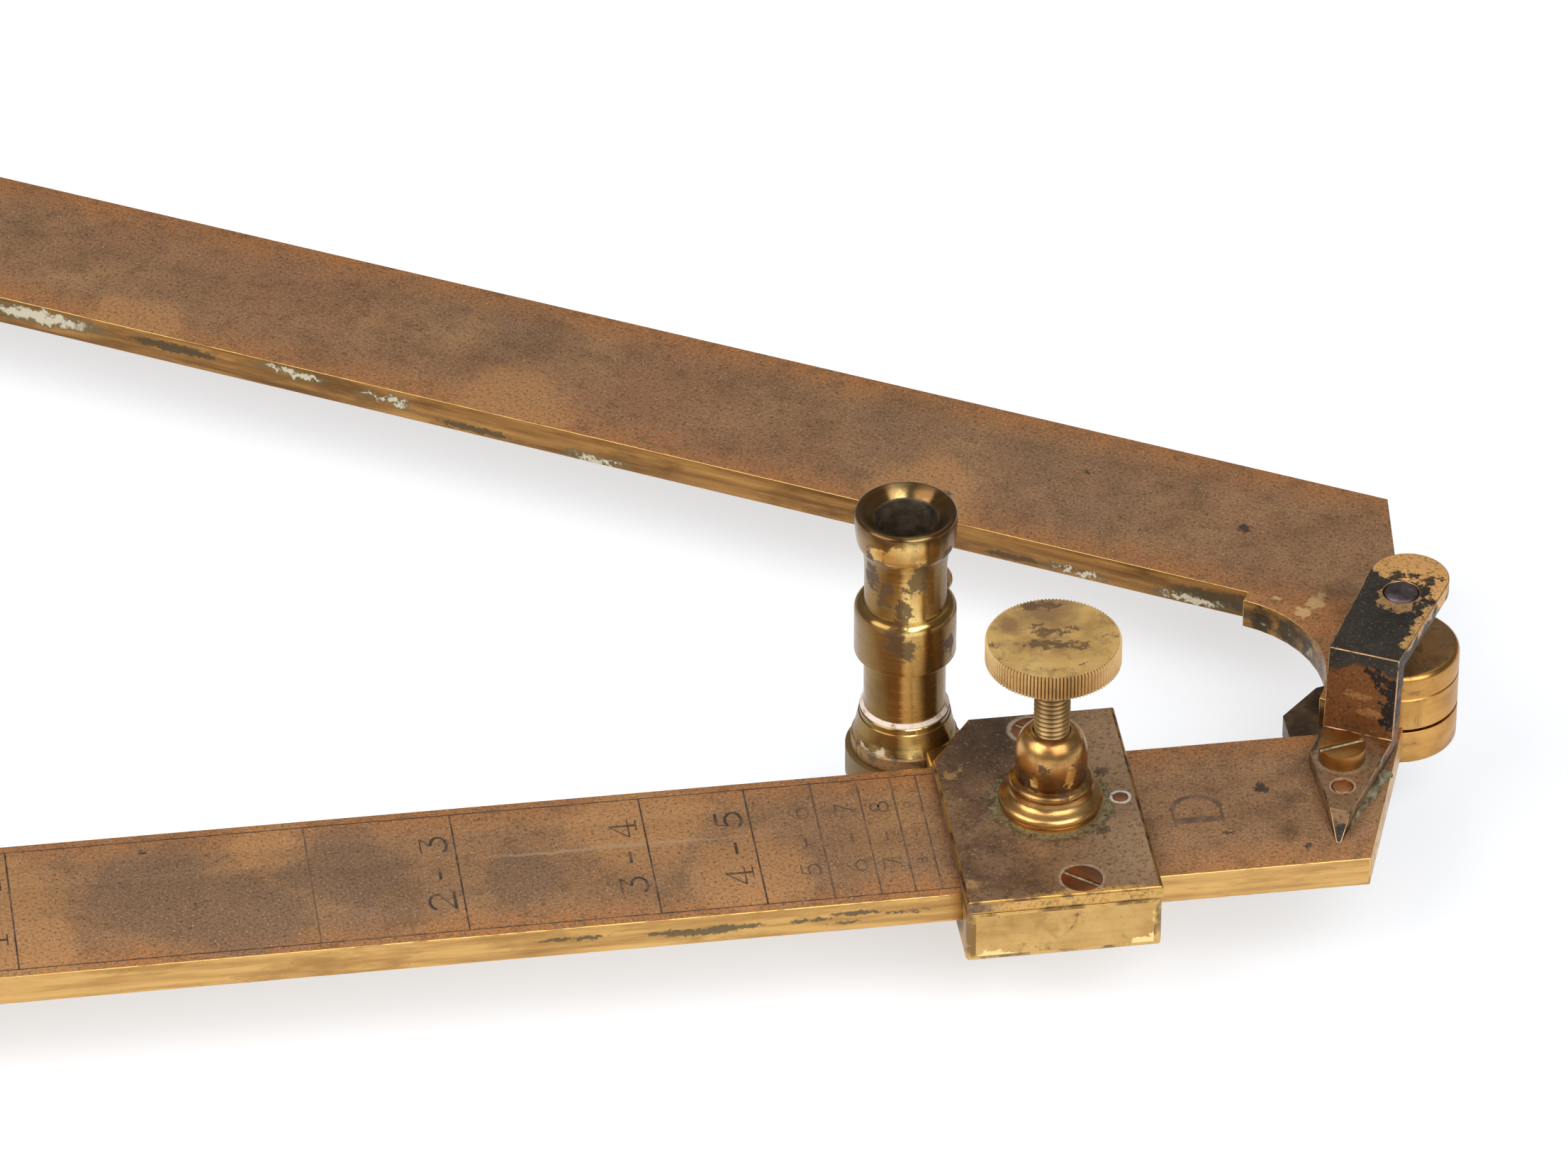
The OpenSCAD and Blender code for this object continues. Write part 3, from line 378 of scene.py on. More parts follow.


# Where stains, crusts, and dirt with painted shade lie on the arms, in mm: along, across and, on the sides, up
# from the top
plainBar = {
    "tones": ("80603f", "a47b57", "ba8e60"), "red": "a97855", "grey": "927259", "edge": "bb7d47",
    "paleFrom": 5, "sides": ("86602f", "bf8f50", "d3a45c"), "stain": "5e5340",
    "warm": [], "dull": [], "bare": [], "grimeAndShade": [], "scuff": [], "crust": [], "neck": [],
    "spots": [(120, 20, 0.8), (60, 27, 0.7)],
    "sideStains": [(90, 33, -2, 1.2), (200, 9, -2, 1.4), (520, 33, -2, 1.2)],
}
barLooks = {
    "arm_b": plainBar,
    "arm_c": plainBar,
    "arm_d": {
        **plainBar, "tones": ("80603f", "a47b57", "b2875a"), "red": "a87c54",
        "sides": ("a67c46", "d0a261", "deb36c"),
        # dirt and painted shade beside the cock's foot
        "grimeAndShade": [(402.5, 15, 1.8), (400.5, 21, 1.5), (399, 27, 1.2)],
        "dull": [(270, 20, 8), (279, 26, 8), (292, 18, 7), (312, 23, 5)],
        "warm": [(250, 19, 9), (254, 28, 7), (284, 13, 5), (326, 16, 8), (338, 26, 7)],
        "scuff": [(322, 19, 0.35)],
        "spots": [(397.5, 18.6, 0.9), (392.6, 26.2, 0.5), (400.9, 30.1, 0.6), (274.9, 23.1, 0.3),
                  (269.5, 12.6, 0.45), (307.8, 11.8, 0.3)],
        "sideStains": [(314.5, 33, -1.5, 0.4), (318, 33, -1.6, 0.4), (327.5, 33, -1.9, 0.5),
                       (331, 33, -2.2, 0.7), (334.5, 33, -1.9, 0.6), (343.3, 33, -1.9, 0.4),
                       (347, 33, -2.6, 0.4), (348.5, 33, -1.4, 0.5), (353.5, 33, -1.8, 0.3),
                       (355.2, 33, -1.8, 0.3)],
    },
    "arm_plain": {
        **plainBar, "sides": ("6b4a28", "94693a", "b38548"), "stain": "4f4330",
        # dirt and painted shade beside the cock, near the neck
        "grimeAndShade": [(405, 13, 2), (409, 10, 2.2)],
        "warm": [(300, 12, 7), (352, 13, 7), (250, 11, 6)],
        "neck": [(398, 9, -2, 2.2), (402, 7.5, -2, 2.2), (405.5, 5.5, -2, 2.2), (409, 2.5, -2, 2.2),
                 (411, -1, -2, 2.2)],
        "bare": [(402.6, 8, 1), (403.2, 10.4, 1.1), (403.4, 12, 0.6), (398.8, 9.4, 0.5)],
        "spots": [(390.5, 21.3, 0.9), (369.3, 24.7, 0.5), (355.4, 14.3, 0.6)],
        "sideStains": [(256, 9, -1.5, 1), (296, 9, -3, 0.8), (366, 9, -3, 0.7), (396, 9, -2, 1.8),
                       (402, 9, -2, 1.6)],
        "crust": [(238, 9.3, -1.6, 1), (272, 9.3, -1, 0.6), (284, 9.3, -1.6, 0.5), (312, 9.3, -3.3, 0.5),
                  (374, 9.3, -3, 0.5), (388, 9.3, -3, 0.6), (399, 9.3, -1.5, 0.5)],
    },
}
barSkin = {arm: agedBar("rolled_brass_" + arm, arms[arm], look) for arm, look in barLooks.items()}
barEdge = rubbedEdge("rolled_brass_rubbed_edge", "dcae66", "a87e4e", 0.42)

# Turned pieces: spots in mm from the tube's or clamp screw's axis, along the arm, outwards and up
turnedLook = {
    "tones": ("9a7440", "cfa355", "dfb86a"), "halo": "9a7844", "tarnish": "4d3d2b", "patch": 6,
    "tarnished": 0.27, "rough": 0.22, "brushed": 0.8, "metal": 1, "stains": [], "ragged": 1.6,
    "stretch": even, "bright": [], "brightTone": "e6c074", "brightStretch": even, "crust": [], "shade": [],
    "groove": (), "highlightBands": [], "highlightWidth": 5, "lip": 29,
}
tubeLook = {
    **turnedLook, "tarnish": "573c24", "metal": 0.85, "stretch": (1, 1, 0.6), "ragged": 1.2,
    # highlightBands: painted reflection, bright gold down the front and dark to the sides
    "highlightBands": [(0, "7a5f3b"), (0.16, "70552e"), (0.26, "6b4c24"), (0.36, "8c622b"), (0.42, "fbdc8e"),
              (0.6, "fbdc8e"), (0.68, "8c622b"), (0.86, "684a23"), (1, "785c35")],
    "bright": [(-1.6, 5.2, 27.1, 1.7), (0.4, 5.4, 26.8, 1.2), (-3.8, 4, 27.2, 1)],
    "stains": [(1, 4.6, 23.6, 1.3), (0, 4.7, 22.4, 0.9), (-3, 3.8, 21.5, 0.8), (-3.2, 3.6, 19.8, 0.8),
               (-1, 4.7, 18.8, 1.1), (-2, 5.5, 15.2, 1.2), (-0.6, 5.9, 14.2, 1), (4.7, 3.5, 12.8, 0.9),
               (-4.3, 2, 22.5, 1.2), (-4.4, 3.4, 26.8, 0.8), (1, 5.2, 25, 1.1), (3.8, 3.4, 26.6, 1)],
}
# The foot shares the tube's painted reflection bands
footLook = {
    **turnedLook, "highlightBands": tubeLook["highlightBands"], "highlightWidth": 6.2, "tarnished": 0.36, "halo": "5c4a30",
    "metal": 0.85,
    "crust": [(-3.5, 4.9, -1.4, 1), (-1.4, 6, -2, 0.8), (-5.4, 3, -1.6, 0.8)],
    "shade": [(0, 6, -3.6, 2.4), (-5, 4, -3.6, 2.4), (5, 4, -3.6, 2.4)],
}
barrelLook = {
    **turnedLook, "tones": ("a8763f", "c8934f", "d6a561"), "rough": 0.32, "brushed": 0.6,
    "tarnished": 0.38, "tarnish": "7a5228",
}
handledLook = {**turnedLook, "brushed": 0.0}
bossLook = {
    **handledLook, "tones": ("946b3c", "c6975a", "dcb070"), "halo": "6e4c2a", "tarnish": "4a3320",
    "patch": 3, "tarnished": 0.35, "rough": 0.28,
    "shade": [(0, 4.2, 6.6, 2.2), (3.5, 2.2, 6.8, 1.8), (-3.5, 2.2, 6.8, 1.8)],
    "stains": [(0.6, 4.1, 6.7, 1.2), (-2.8, 3, 7.2, 1), (3.6, 2, 7.2, 1.2), (-1.4, 3.9, 9.2, 0.8),
               (2.6, 3.2, 9.4, 0.7)],
    "bright": [(1.55, 3.85, 8, 0.75), (-2.4, 3.3, 7.6, 0.4)], "brightStretch": (1, 1, 0.55),
}
thumbLook = {
    **handledLook, "tones": ("b48a50", "d9b06a", "eac57c"), "halo": "8c6848", "tarnish": "5a4229",
    "patch": 3.2, "tarnished": 0.33, "rough": 0.4, "metal": 0.5, "ragged": 1.3, "stretch": (1, 2.2, 1),
    "shade": [(0, -5.5, 25, 3), (-4.5, -3.5, 25, 1.8), (0, 0.5, 25, 1.4)],
    "stains": [(-1.6, -6.4, 25, 1.5), (0.9, -6.3, 25, 1.4), (-0.2, -1.4, 25, 1.5), (1.6, -1.2, 25, 1.2),
               (-1.6, 0.9, 25, 1.6), (0.8, 1.2, 25, 1.7), (2.8, 1.7, 25, 1), (-1.7, -2.6, 25, 0.8),
               (3.8, 1.2, 25, 0.7), (-6.6, 0.2, 25, 0.7), (6.6, 0.2, 25, 0.6), (-1.3, 5.9, 25, 0.5),
               (2.4, 5, 25, 0.6)],
}
# groove: the radii between which painted shade darkens the roots of the knurl and thread
knurlLook = {
    **handledLook, "tones": ("b08c56", "dab47a", "e6c48c"), "tarnish": "4a3720", "metal": 0.5,
    "rough": 0.36, "groove": (7.36, 7.5),
}
threadLook = {**knurlLook, "tones": ("7d6038", "a6824c", "bd985c"), "groove": (1.78, 1.98)}
boxLook = {
    **handledLook, "tones": ("a37d46", "c79e60", "d6b06e"), "halo": "95743f", "tarnish": "66502f",
    "tarnished": 0.34, "rough": 0.36, "patch": 3.5,
    "stains": [(1.6, 30, -3, 4), (-5.5, 4.5, -4, 3.4), (-1.5, 6.9, -4, 3), (-7, 0, -4, 3.4),
               (4.5, 5.5, -4, 2.6)],
    "bright": [(4.6, 37.15, -6.2, 1.1), (6.6, 37.15, -6.5, 0.7), (22, 37.15, -6.1, 1),
               (23.7, 37.15, -5.4, 0.9), (23.9, 37.15, -3, 0.6), (23.8, 37.15, -1.6, 0.5)],
    "brightStretch": (0.6, 1, 1), "brightTone": "f7dc98",
}
screwLook = {**handledLook, "tones": ("8a5638", "a56f4c", "b5835a"), "rough": 0.38, "patch": 2.0}
capLook = {
    **screwLook, "tones": ("6e5238", "957049", "ab8553"), "tarnish": "4d442e", "rough": 0.42,
    "metal": 0.6, "tarnished": 0.42, "patch": 1.8,
}
headLook = {**screwLook, "tones": ("7d5530", "a5763f", "bb8d4d")}


def skinsFor(name, refs, look, keys="db"):  # one per slider, in that slider's frame
    return {k: turnedBrass(name + k, refs[k], look) for k in keys}


tubeSkin = skinsFor("turned_brass_tube_", sliders, tubeLook, "dbc")
footSkin = skinsFor("turned_brass_foot_", sliders, footLook, "dbc")
bossSkin = skinsFor("turned_brass_boss_", clamps, bossLook)
thumbSkin = skinsFor("turned_brass_thumbscrew_", clamps, thumbLook)
knurlSkin = skinsFor("knurled_brass_", clamps, knurlLook)
threadSkin = skinsFor("threaded_brass_", clamps, threadLook)
boxSkin = skinsFor("milled_brass_box_", sliders, boxLook)
boxEdge = rubbedEdge("milled_brass_rubbed_edge", "d2ab66", "8a6a40", 0.5)
barrelSkin = turnedBrass("turned_brass_barrel", None, barrelLook)
screwSkin = turnedBrass("turned_brass_screw", None, screwLook)
capSkin = turnedBrass("turned_brass_cap_top", None, capLook)
headSkin = turnedBrass("turned_brass_screw_head", None, headLook)

# Slider plates: spots from the tube's axis, as above
plateLook = {
    "tones": ("453222", "87684c", "a5825e"), "dust": 0.5,
    "layers": [
        ("b18f6b", [(24, 14, 1.8, 9), (24, 30, 1.8, 9)], {"ragged": 6, "soft": 0.6, "strength": 0.75}),
        ("4b3829", [(8, 7, 1.8, 7)], {"ragged": 5, "soft": 0.6, "strength": 0.75}),
        ("574a30", [(13.8, 20.15, 1.8, 7.2)], {"ragged": 0.9, "jag": 6, "strength": 0.8}),
        ("a39870", [(13.8, 20.15, 1.8, 6.7)], {"ragged": 0.7, "jag": 8, "soft": 0.03, "strength": 0.7}),
        ("bda78e", [(13.9, 6.3, 1.8, 2.85), (15.1, 34.4, 1.8, 2.65)], {"jag": 0.9, "strength": 0.9}),
        ("e8ddd2", [(21.9, 20.15, 1.8, 1.25)], {"jag": 0.6, "soft": 0.06}),
        ("d9a95c", [(16.5, 37.6, 0.6, 1.75)],
         {"ragged": 1.2, "stretch": (0.14, 1, 1), "jag": 1.4, "soft": 0.12}),
        ("b8935e", [(3.2, 13.6, 1.8, 0.8), (4.4, 12.8, 1.8, 0.6), (2.6, 33.6, 1.8, 0.9)],
         {"ragged": 0.9, "soft": 0.1, "strength": 0.8}),
        ("3a3028", [(19, 26, 1.8, 0.7), (20.5, 15, 1.8, 0.8)],
         {"ragged": 0.8, "soft": 0.2, "strength": 0.7}),
    ],
}
plateSkin = {k: bronzed("bronzed_brass_plate_" + k, sliders[k], plateLook) for k in "db"}
plateEdge = rubbedEdge("bronzed_brass_rubbed_edge", "c0924f", "6b5138", 0.47)

# Cocks: spots from the pivot's axis, across the cock, towards its foot and up
cockLook = {
    "tones": ("241f1a", "383129", "474034"), "dust": 0.25,
    "layers": [
        ("eeb46c", [(1.5, -6.5, 12.4, 4.6), (4.8, -1.5, 12.4, 2), (-1.5, -5.5, 12.4, 3.6)],
         {"ragged": 1.6}),
        ("d0a062", [(4.3, 3, 12.4, 1.1), (4, 6, 12.4, 0.9), (3.7, 9, 12.4, 0.9)],
         {"ragged": 1.6, "stretch": (1, 0.6, 1), "soft": 0.06}),
        ("c09462", [(0.2, 1.4, 12.4, 2.5)], {"ragged": 1.2, "strength": 0.9}),
        ("382f29", [(2.6, -3.4, 12.4, 1), (-1.2, -3, 12.4, 0.9), (0.4, -3.6, 12.4, 0.7)],
         {"soft": 0.06}),
        ("7c4a1c", [(0, 14, 5.2, 5.1)], {"ragged": 2, "stretch": (0.8, 1, 0.9), "jag": 3.0}),
        ("130c07", [(3.4, 13.6, 8.6, 1.3), (3.2, 13.8, 6.2, 1.2), (3, 13.9, 4.2, 1.2),
                    (1.2, 13.6, 9.8, 0.9)],
         {"ragged": 1.5, "stretch": (0.8, 0.4, 1)}),
        ("a4703c", [(-0.8, 13.7, 6.8, 0.5), (0.6, 13.8, 5, 0.5)],
         {"ragged": 1.2, "stretch": (0.3, 0.4, 1), "soft": 0.1, "strength": 0.8}),
        ("94704e", [(0, 19.5, 1.8, 4.4), (0.6, 24, 1.8, 4), (2, 28, 1.8, 2.4)],
         {"ragged": 2.5, "soft": 0.15, "strength": 0.9}),
        ("c8b698", [(0.9, 24.4, 2, 1.55)], {"ragged": 0.8, "jag": 0.6, "soft": 0.04, "strength": 0.6}),
        ("b5a98c", [(-0.8, 19.3, 2, 3.25)], {"jag": 2, "soft": 0.06, "strength": 0.45}),
    ],
}
cockSkin = {k: bronzed("bronzed_brass_cock_" + k, cocks[k], cockLook) for k in "ra"}
cockEdge = rubbedEdge("bronzed_brass_cock_edge", "c19a6e", "5f4a35", 0.46)

# Tones, depth of the pits in mm, share of metal
# The bore's dark skin is painted shade inside the tube
shadedBoreSkin = roughMetal("bore_brass_painted_shade", ("2c241c", "4d4033", "6a5a46"), 0.1, 0.4)
castSkin = roughMetal("cast_brass", ("2e241b", "55422d", "7d6742"), 0.25, 0.5)
forkSkin = roughMetal("filed_brass_fork", ("7a5a34", "a67e47", "c39a58"), 0.08, 0.9)
steelSkin = roughMetal("grey_pivot_steel", ("3d3538", "5b4e50", "85767a"), 0.03, 0.9)
boneSkin = turnedBone("turned_bone", ("c9b48a", "e2d5b6", "efe6cf"))
pinkCrust = chalkyCrust("dry_polish_crust", ("a58a62", "e6d3c4", "f3e6dd"))
greenCrust = chalkyCrust("verdigris_crust", ("4f4632", "8d8669", "bdb798"))
earthCrust = chalkyCrust("earthy_verdigris", ("372f20", "625c44", "958c6c"))
waxSkin = engraversWax("engravers_wax", "3a2c22", "7a5c42")
thinWax = engraversWax("engravers_wax_worn", "594433", "86664a")
print("materials made")


def addObject(name, data):
    made = bpy.data.objects.new(name, data)
    bpy.context.scene.collection.objects.link(made)
    return made


# Puts a finished bmesh into the scene as a piece on a body; crease 0 is flat
def place(name, shape, body, skins, stands=(), crease=38):
    mesh = bpy.data.meshes.new(name)
    shape.to_mesh(mesh)
    shape.free()
    for skin in skins:
        mesh.materials.append(skin)
    mesh.polygons.foreach_set("use_smooth", [crease > 0] * len(mesh.polygons))
    mesh.set_sharp_from_angle(angle=math.radians(crease))
    piece = addObject(name, mesh)
    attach(piece, body)
    if stands:
        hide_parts(*stands)
    return piece


def merged(node):
    shape = bmesh.new()
    shape.from_mesh(nodes[node].data)
    bmesh.ops.remove_doubles(shape, verts=shape.verts, dist=0.001 * mm)
    bmesh.ops.dissolve_limit(shape, angle_limit=math.radians(0.8), verts=shape.verts, edges=shape.edges)
    return shape


def paint(faces, index=1):  # gives faces one of their piece's materials
    for face in faces:
        face.material_index = index


def isSharp(edge):
    return edge.is_manifold and edge.calc_face_angle(0) > math.radians(30)


# A copy of a CAD node with rounded edges, in a material of their own
def softened(node, rounding, segments=2, edgeSkin=1):
    shape = merged(node)
    made = bmesh.ops.bevel(shape, geom=[e for e in shape.edges if isSharp(e)], offset=rounding * mm,
                           offset_type="OFFSET", segments=segments, profile=0.5, affect="EDGES",
                           clamp_overlap=True, material=-1)
    paint(made["faces"], edgeSkin)
    return shape


def stand(node, shape, skins, crease=38):  # a shape in place of its CAD node
    return place("dressed_" + node, shape, bodyOf[node], skins, [node], crease)


def dress(node, rounding, skins, segments=2):
    stand(node, softened(node, rounding, segments), skins)


# Spins an outline of (radius, height) points in mm round an upright axis that stands on foot
def turnedShape(outline, foot, steps=96):
    shape = bmesh.new()
    verts = [shape.verts.new(foot + Vector((r * mm, 0, z * mm))) for r, z in outline]
    edges = [shape.edges.new(pair) for pair in zip(verts, verts[1:])]
    bmesh.ops.spin(shape, geom=verts + edges, cent=foot, axis=up, angle=2 * math.pi, steps=steps,
                   use_merge=True)
    bmesh.ops.remove_doubles(shape, verts=shape.verts, dist=0.0005 * mm)
    bmesh.ops.recalc_face_normals(shape, faces=shape.faces)
    return shape


def arc(r, z, across, high, start, end, points=7):  # part of an ellipse, angles in degrees
    steps = [math.radians(start + (end - start) * i / (points - 1)) for i in range(points)]
    return [(r + across * math.cos(a), z + high * math.sin(a)) for a in steps]


def axisOf(node):
    low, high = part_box(node)
    return Vector(((low.x + high.x) / 2, (low.y + high.y) / 2, low.z))


# Arms
armLook = {"rounding": 0.28, "segments": 3}
for arm in arms:
    dress(arm, armLook["rounding"], [barSkin[arm], barEdge], armLook["segments"])
print("arms dressed")


# Engraved ratio scale on the short arm: a line for each ratio m to m + 1
scale = {
    "reach": 762,  # mm from the main joint to the tracer
    "from": 1, "to": 8, "wornFrom": 5, "start": 236, "end": 362, "half": 288,
    "line": 0.2, "margin": 1.25, "marginLine": 0.15, "deep": 0.06, "proud": 0.015, "layers": 5, "step": 0.003,
    "digit": 3.1, "wornDigit": 2.3, "wide": 1.7, "thick": 0.105, "thin": 0.05, "gap": 0.9,
    "near": 0.74, "dash": 0.5, "far": 0.25,
    "letterAt": 392.3, "letter": 5.6, "letterOut": 21.4, "letterWide": 1.0,
}
# Strokes of the figures: heavy or not, then points across and up in shares of the height
glyphs = {
    "-": [(True, [(-0.2, 0.42), (0.2, 0.42)])],
    "1": [(True, [(0, 0), (0, 1)]), (False, [(-0.2, 0), (0.2, 0)]), (False, [(-0.2, 0.82), (0, 1)])],
    "2": [(True, arc(0, 0.7, 0.26, 0.28, 165, -30)), (False, [(0.22, 0.56), (-0.28, 0.05)]),
          (True, [(-0.28, 0.05), (0.3, 0.05)])],
    "3": [(False, [(-0.25, 0.97), (0.25, 0.97)]), (False, [(0.25, 0.97), (-0.02, 0.6)]),
          (True, arc(-0.02, 0.3, 0.28, 0.3, 90, -150, 9))],
    "4": [(False, [(0.1, 1), (-0.3, 0.3)]), (False, [(-0.3, 0.3), (0.32, 0.3)]), (True, [(0.1, 1), (0.1, 0)]),
          (False, [(-0.08, 0), (0.28, 0)])],
    "5": [(True, [(-0.15, 0.95), (0.25, 0.95)]), (False, [(-0.15, 0.95), (-0.2, 0.55)]),
          (True, arc(-0.03, 0.31, 0.28, 0.31, 130, -150, 9))],
    "6": [(True, arc(0, 0.28, 0.26, 0.28, 0, 360, 13)), (False, arc(0.24, 0.3, 0.5, 0.7, 180, 100))],
    "7": [(True, [(-0.27, 0.95), (0.27, 0.95)]), (True, [(0.27, 0.95), (-0.08, 0)])],
    "8": [(True, arc(0, 0.74, 0.2, 0.24, 0, 360, 13)), (True, arc(0, 0.26, 0.26, 0.26, 0, 360, 13))],
    "9": [(True, arc(0, 0.72, 0.26, 0.28, 0, 360, 13)), (False, arc(-0.24, 0.7, 0.5, 0.7, 0, -80))],
    "D": [(True, [(-0.38, 0), (-0.38, 1)]), (True, [(-0.3, 0), (-0.3, 1)]), (False, [(-0.52, 0), (0.02, 0)]),
          (False, [(-0.52, 1), (0.02, 1)]), (True, arc(0.02, 0.5, 0.42, 0.5, 90, -90, 11))],
}
scaleArm = arms["arm_d"]


def engrave(shape, begin, end, width):
    ahead = (end - begin).normalized()
    turn = Matrix((ahead, up.cross(ahead), up)).transposed().to_4x4()
    layer = len(shape.verts) // 8 % scale["layers"]  # strokes that cross lie at different heights
    proud = scale["proud"] + layer * scale["step"]
    sink = (proud - scale["deep"]) / 2 * mm
    size = Matrix.Diagonal(((end - begin).length, width * mm, (scale["deep"] + proud) * mm, 1))
    middle = Matrix.Translation((begin + end) / 2 + up * sink)
    bmesh.ops.create_cube(shape, size=1, matrix=middle @ turn @ size)


def figure(shape, word, high, wide, along, out):  # reads from the arm's free end, tops towards its joint
    for heavy, points in glyphs[word]:
        spots = [onFrame(scaleArm, along - v * high, out - u * high * wide) for u, v in points]
        for begin, end in zip(spots, spots[1:]):
            engrave(shape, begin, end, high * scale["thick" if heavy else "thin"])


deepCut, wornCut = bmesh.new(), bmesh.new()
inside = barSize["inner"] + scale["margin"]
outside = barSize["inner"] + barSize["width"] - scale["margin"]


def crossLine(shape, along, width):
    engrave(shape, onFrame(scaleArm, along, inside), onFrame(scaleArm, along, outside), width)


for out in (inside, outside):
    begin, end = (onFrame(scaleArm, scale[which], out) for which in ("start", "end"))
    engrave(deepCut, begin, end, scale["marginLine"])
crossLine(wornCut, scale["half"], scale["marginLine"])
for m in range(scale["from"], scale["to"] + 1):
    isWorn = m >= scale["wornFrom"]
    cutInto = wornCut if isWorn else deepCut
    at = scale["reach"] * m / (2 * m + 1)
    room = at - scale["reach"] * (m - 1) / (2 * m - 1) - 2 * scale["gap"]
    high = min(scale["wornDigit" if isWorn else "digit"], room)
    crossLine(cutInto, at, scale["line"])
    for share, word in (("near", str(m)), ("dash", "-"), ("far", str(m + 1))):
        out = inside + (outside - inside) * scale[share]
        figure(cutInto, word, high, scale["wide"], at - scale["gap"], out)
figure(wornCut, "D", scale["letter"], scale["letterWide"], scale["letterAt"], scale["letterOut"])
place("scale_engraving", deepCut, "arm_d", [waxSkin])
place("scale_engraving_worn", wornCut, "arm_d", [thinWax])
print("scale engraved")


# Double pivots: barrel and cap turned in one, steel pivot, cock and its screw, rough bearing
jointLook = {
    "chamfer": 0.8, "capFlat": 1.2, "groove": 0.16, "pivotRound": 0.5, "cockRound": 0.45, "screwRound": 0.3,
    "pinRound": 0.1, "castRound": 0.5, "middleRound": 0.3, "slotTurn": 66,
    "tuck": 3.0, "tongueOut": 8.6, "tongueIn": 9.0,  # the tongue stops short of the arm's end
}
slotLook = {"from": 0.2, "to": 2.2, "fill": 0.3}  # mm below a screw's top: slot floor, filling


# A screw whose slot is packed with dry polish
def packedScrew(node, rounding, skins, turn=0.0):
    shape = softened(node, rounding, edgeSkin=0)
    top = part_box(node)[1].z
    spin = Matrix.Rotation(math.radians(turn), 3, "Z")
    bmesh.ops.rotate(shape, verts=shape.verts, cent=axisOf(node), matrix=spin)
    for face in shape.faces:
        sunk = (top - face.calc_center_median().z) / mm
        if face.normal.z > 0.9 and slotLook["from"] < sunk < slotLook["to"]:
            face.material_index = 1
            for vert in face.verts:
                vert.co.z = top - slotLook["fill"] * mm
    stand(node, shape, skins)


for k in "ra":
    low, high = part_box("barrel_" + k)
    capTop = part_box("barrel_cap_" + k)[1].z
    foot = axisOf("barrel_" + k)
    r = (high.x - low.x) / 2 / mm
    seam = (high.z - low.z) / mm
    top = (capTop - low.z) / mm
    g = jointLook["groove"]
    edge = jointLook["chamfer"]
    outline = [(0, 0), (r - g, 0), (r, g), (r, seam - g), (r - g, seam), (r, seam + g), (r, top - edge),
               *arc(r - edge, top - edge, edge, edge, 20, 80, 5), (r - jointLook["capFlat"], top), (0, top)]
    shape = turnedShape(outline, foot)
    paint(f for f in shape.faces if f.calc_center_median().z > capTop - 0.02 * mm)
    place("turned_barrel_" + k, shape, bodyOf["barrel_" + k], [barrelSkin, capSkin],
          ["barrel_" + k, "barrel_cap_" + k])
    dress("pivot_" + k, jointLook["pivotRound"], [steelSkin, steelSkin], 3)
    dress("cock_" + k, jointLook["cockRound"], [cockSkin[k], cockEdge], 3)
    packedScrew("cock_screw_" + k, jointLook["screwRound"], [headSkin, greenCrust], jointLook["slotTurn"])
    dress("steady_pin_" + k, jointLook["pinRound"], [screwSkin, screwSkin])
    shape = softened("bearing_" + k, jointLook["castRound"], edgeSkin=0)
    inward = cocks[k]["inward"]
    for vert in shape.verts:
        off = (vert.co - foot) / mm
        if off.dot(cocks[k]["out"]) > jointLook["tongueOut"] and off.dot(inward) < jointLook["tongueIn"]:
            vert.co += inward * jointLook["tuck"] * mm
    paint(f for f in shape.faces if max((v.co - foot).xy.length for v in f.verts) < (r + 0.02) * mm)
    stand("bearing_" + k, shape, [castSkin, barrelSkin])

# Verdigris that has crept along the right edge of the open corner's cock
creepLook = {
    "from": (4.2, 18), "to": (2.8, 31), "thick": 0.7, "thin": 0.3, "sides": 12, "cuts": 30,
    "rough": 0.4, "lump": 0.8, "seed": 4,
}
begin, end = (onFrame(cocks["r"], *creepLook[which]) for which in ("from", "to"))
creep = bmesh.new()
turn = (end - begin).to_track_quat("Z", "Y").to_matrix().to_4x4()
bmesh.ops.create_cone(creep, cap_ends=True, segments=creepLook["sides"], radius1=creepLook["thick"] * mm,
                      radius2=creepLook["thin"] * mm, depth=(end - begin).length,
                      matrix=Matrix.Translation((begin + end) / 2) @ turn)
long = [e for e in creep.edges if e.calc_length() > (end - begin).length / 2]
bmesh.ops.subdivide_edges(creep, edges=long, cuts=creepLook["cuts"])
noise.seed_set(creepLook["seed"])
for vert in creep.verts:
    vert.co += noise.noise_vector(vert.co / (creepLook["lump"] * mm)) * creepLook["rough"] * mm
place("verdigris_creep_r", creep, "arm_d", [earthCrust])
for k in "pq":
    dress("pivot_" + k, jointLook["middleRound"], [barrelSkin, barEdge])
print("pivots dressed")


# Tubes: a conical foot ringed with dry polish, then the tube with its collar and rolled mouth
tubeSize = {
    "bore": 3.65, "tube": 4.75, "collar": 5.9, "mouth": 5.9, "collarAt": 13.6, "collarHigh": 5.9,
    "shoulder": 1.2, "flare": 8.2, "bowl": 4.3, "cove": 0.7, "lip": 0.5, "throat": 1.0, "foot": 6.2,
    "footHigh": 5.7, "footWall": 0.5, "floor": 1.6, "band": 0.9, "ease": 0.3, "screwRound": 0.25,
}


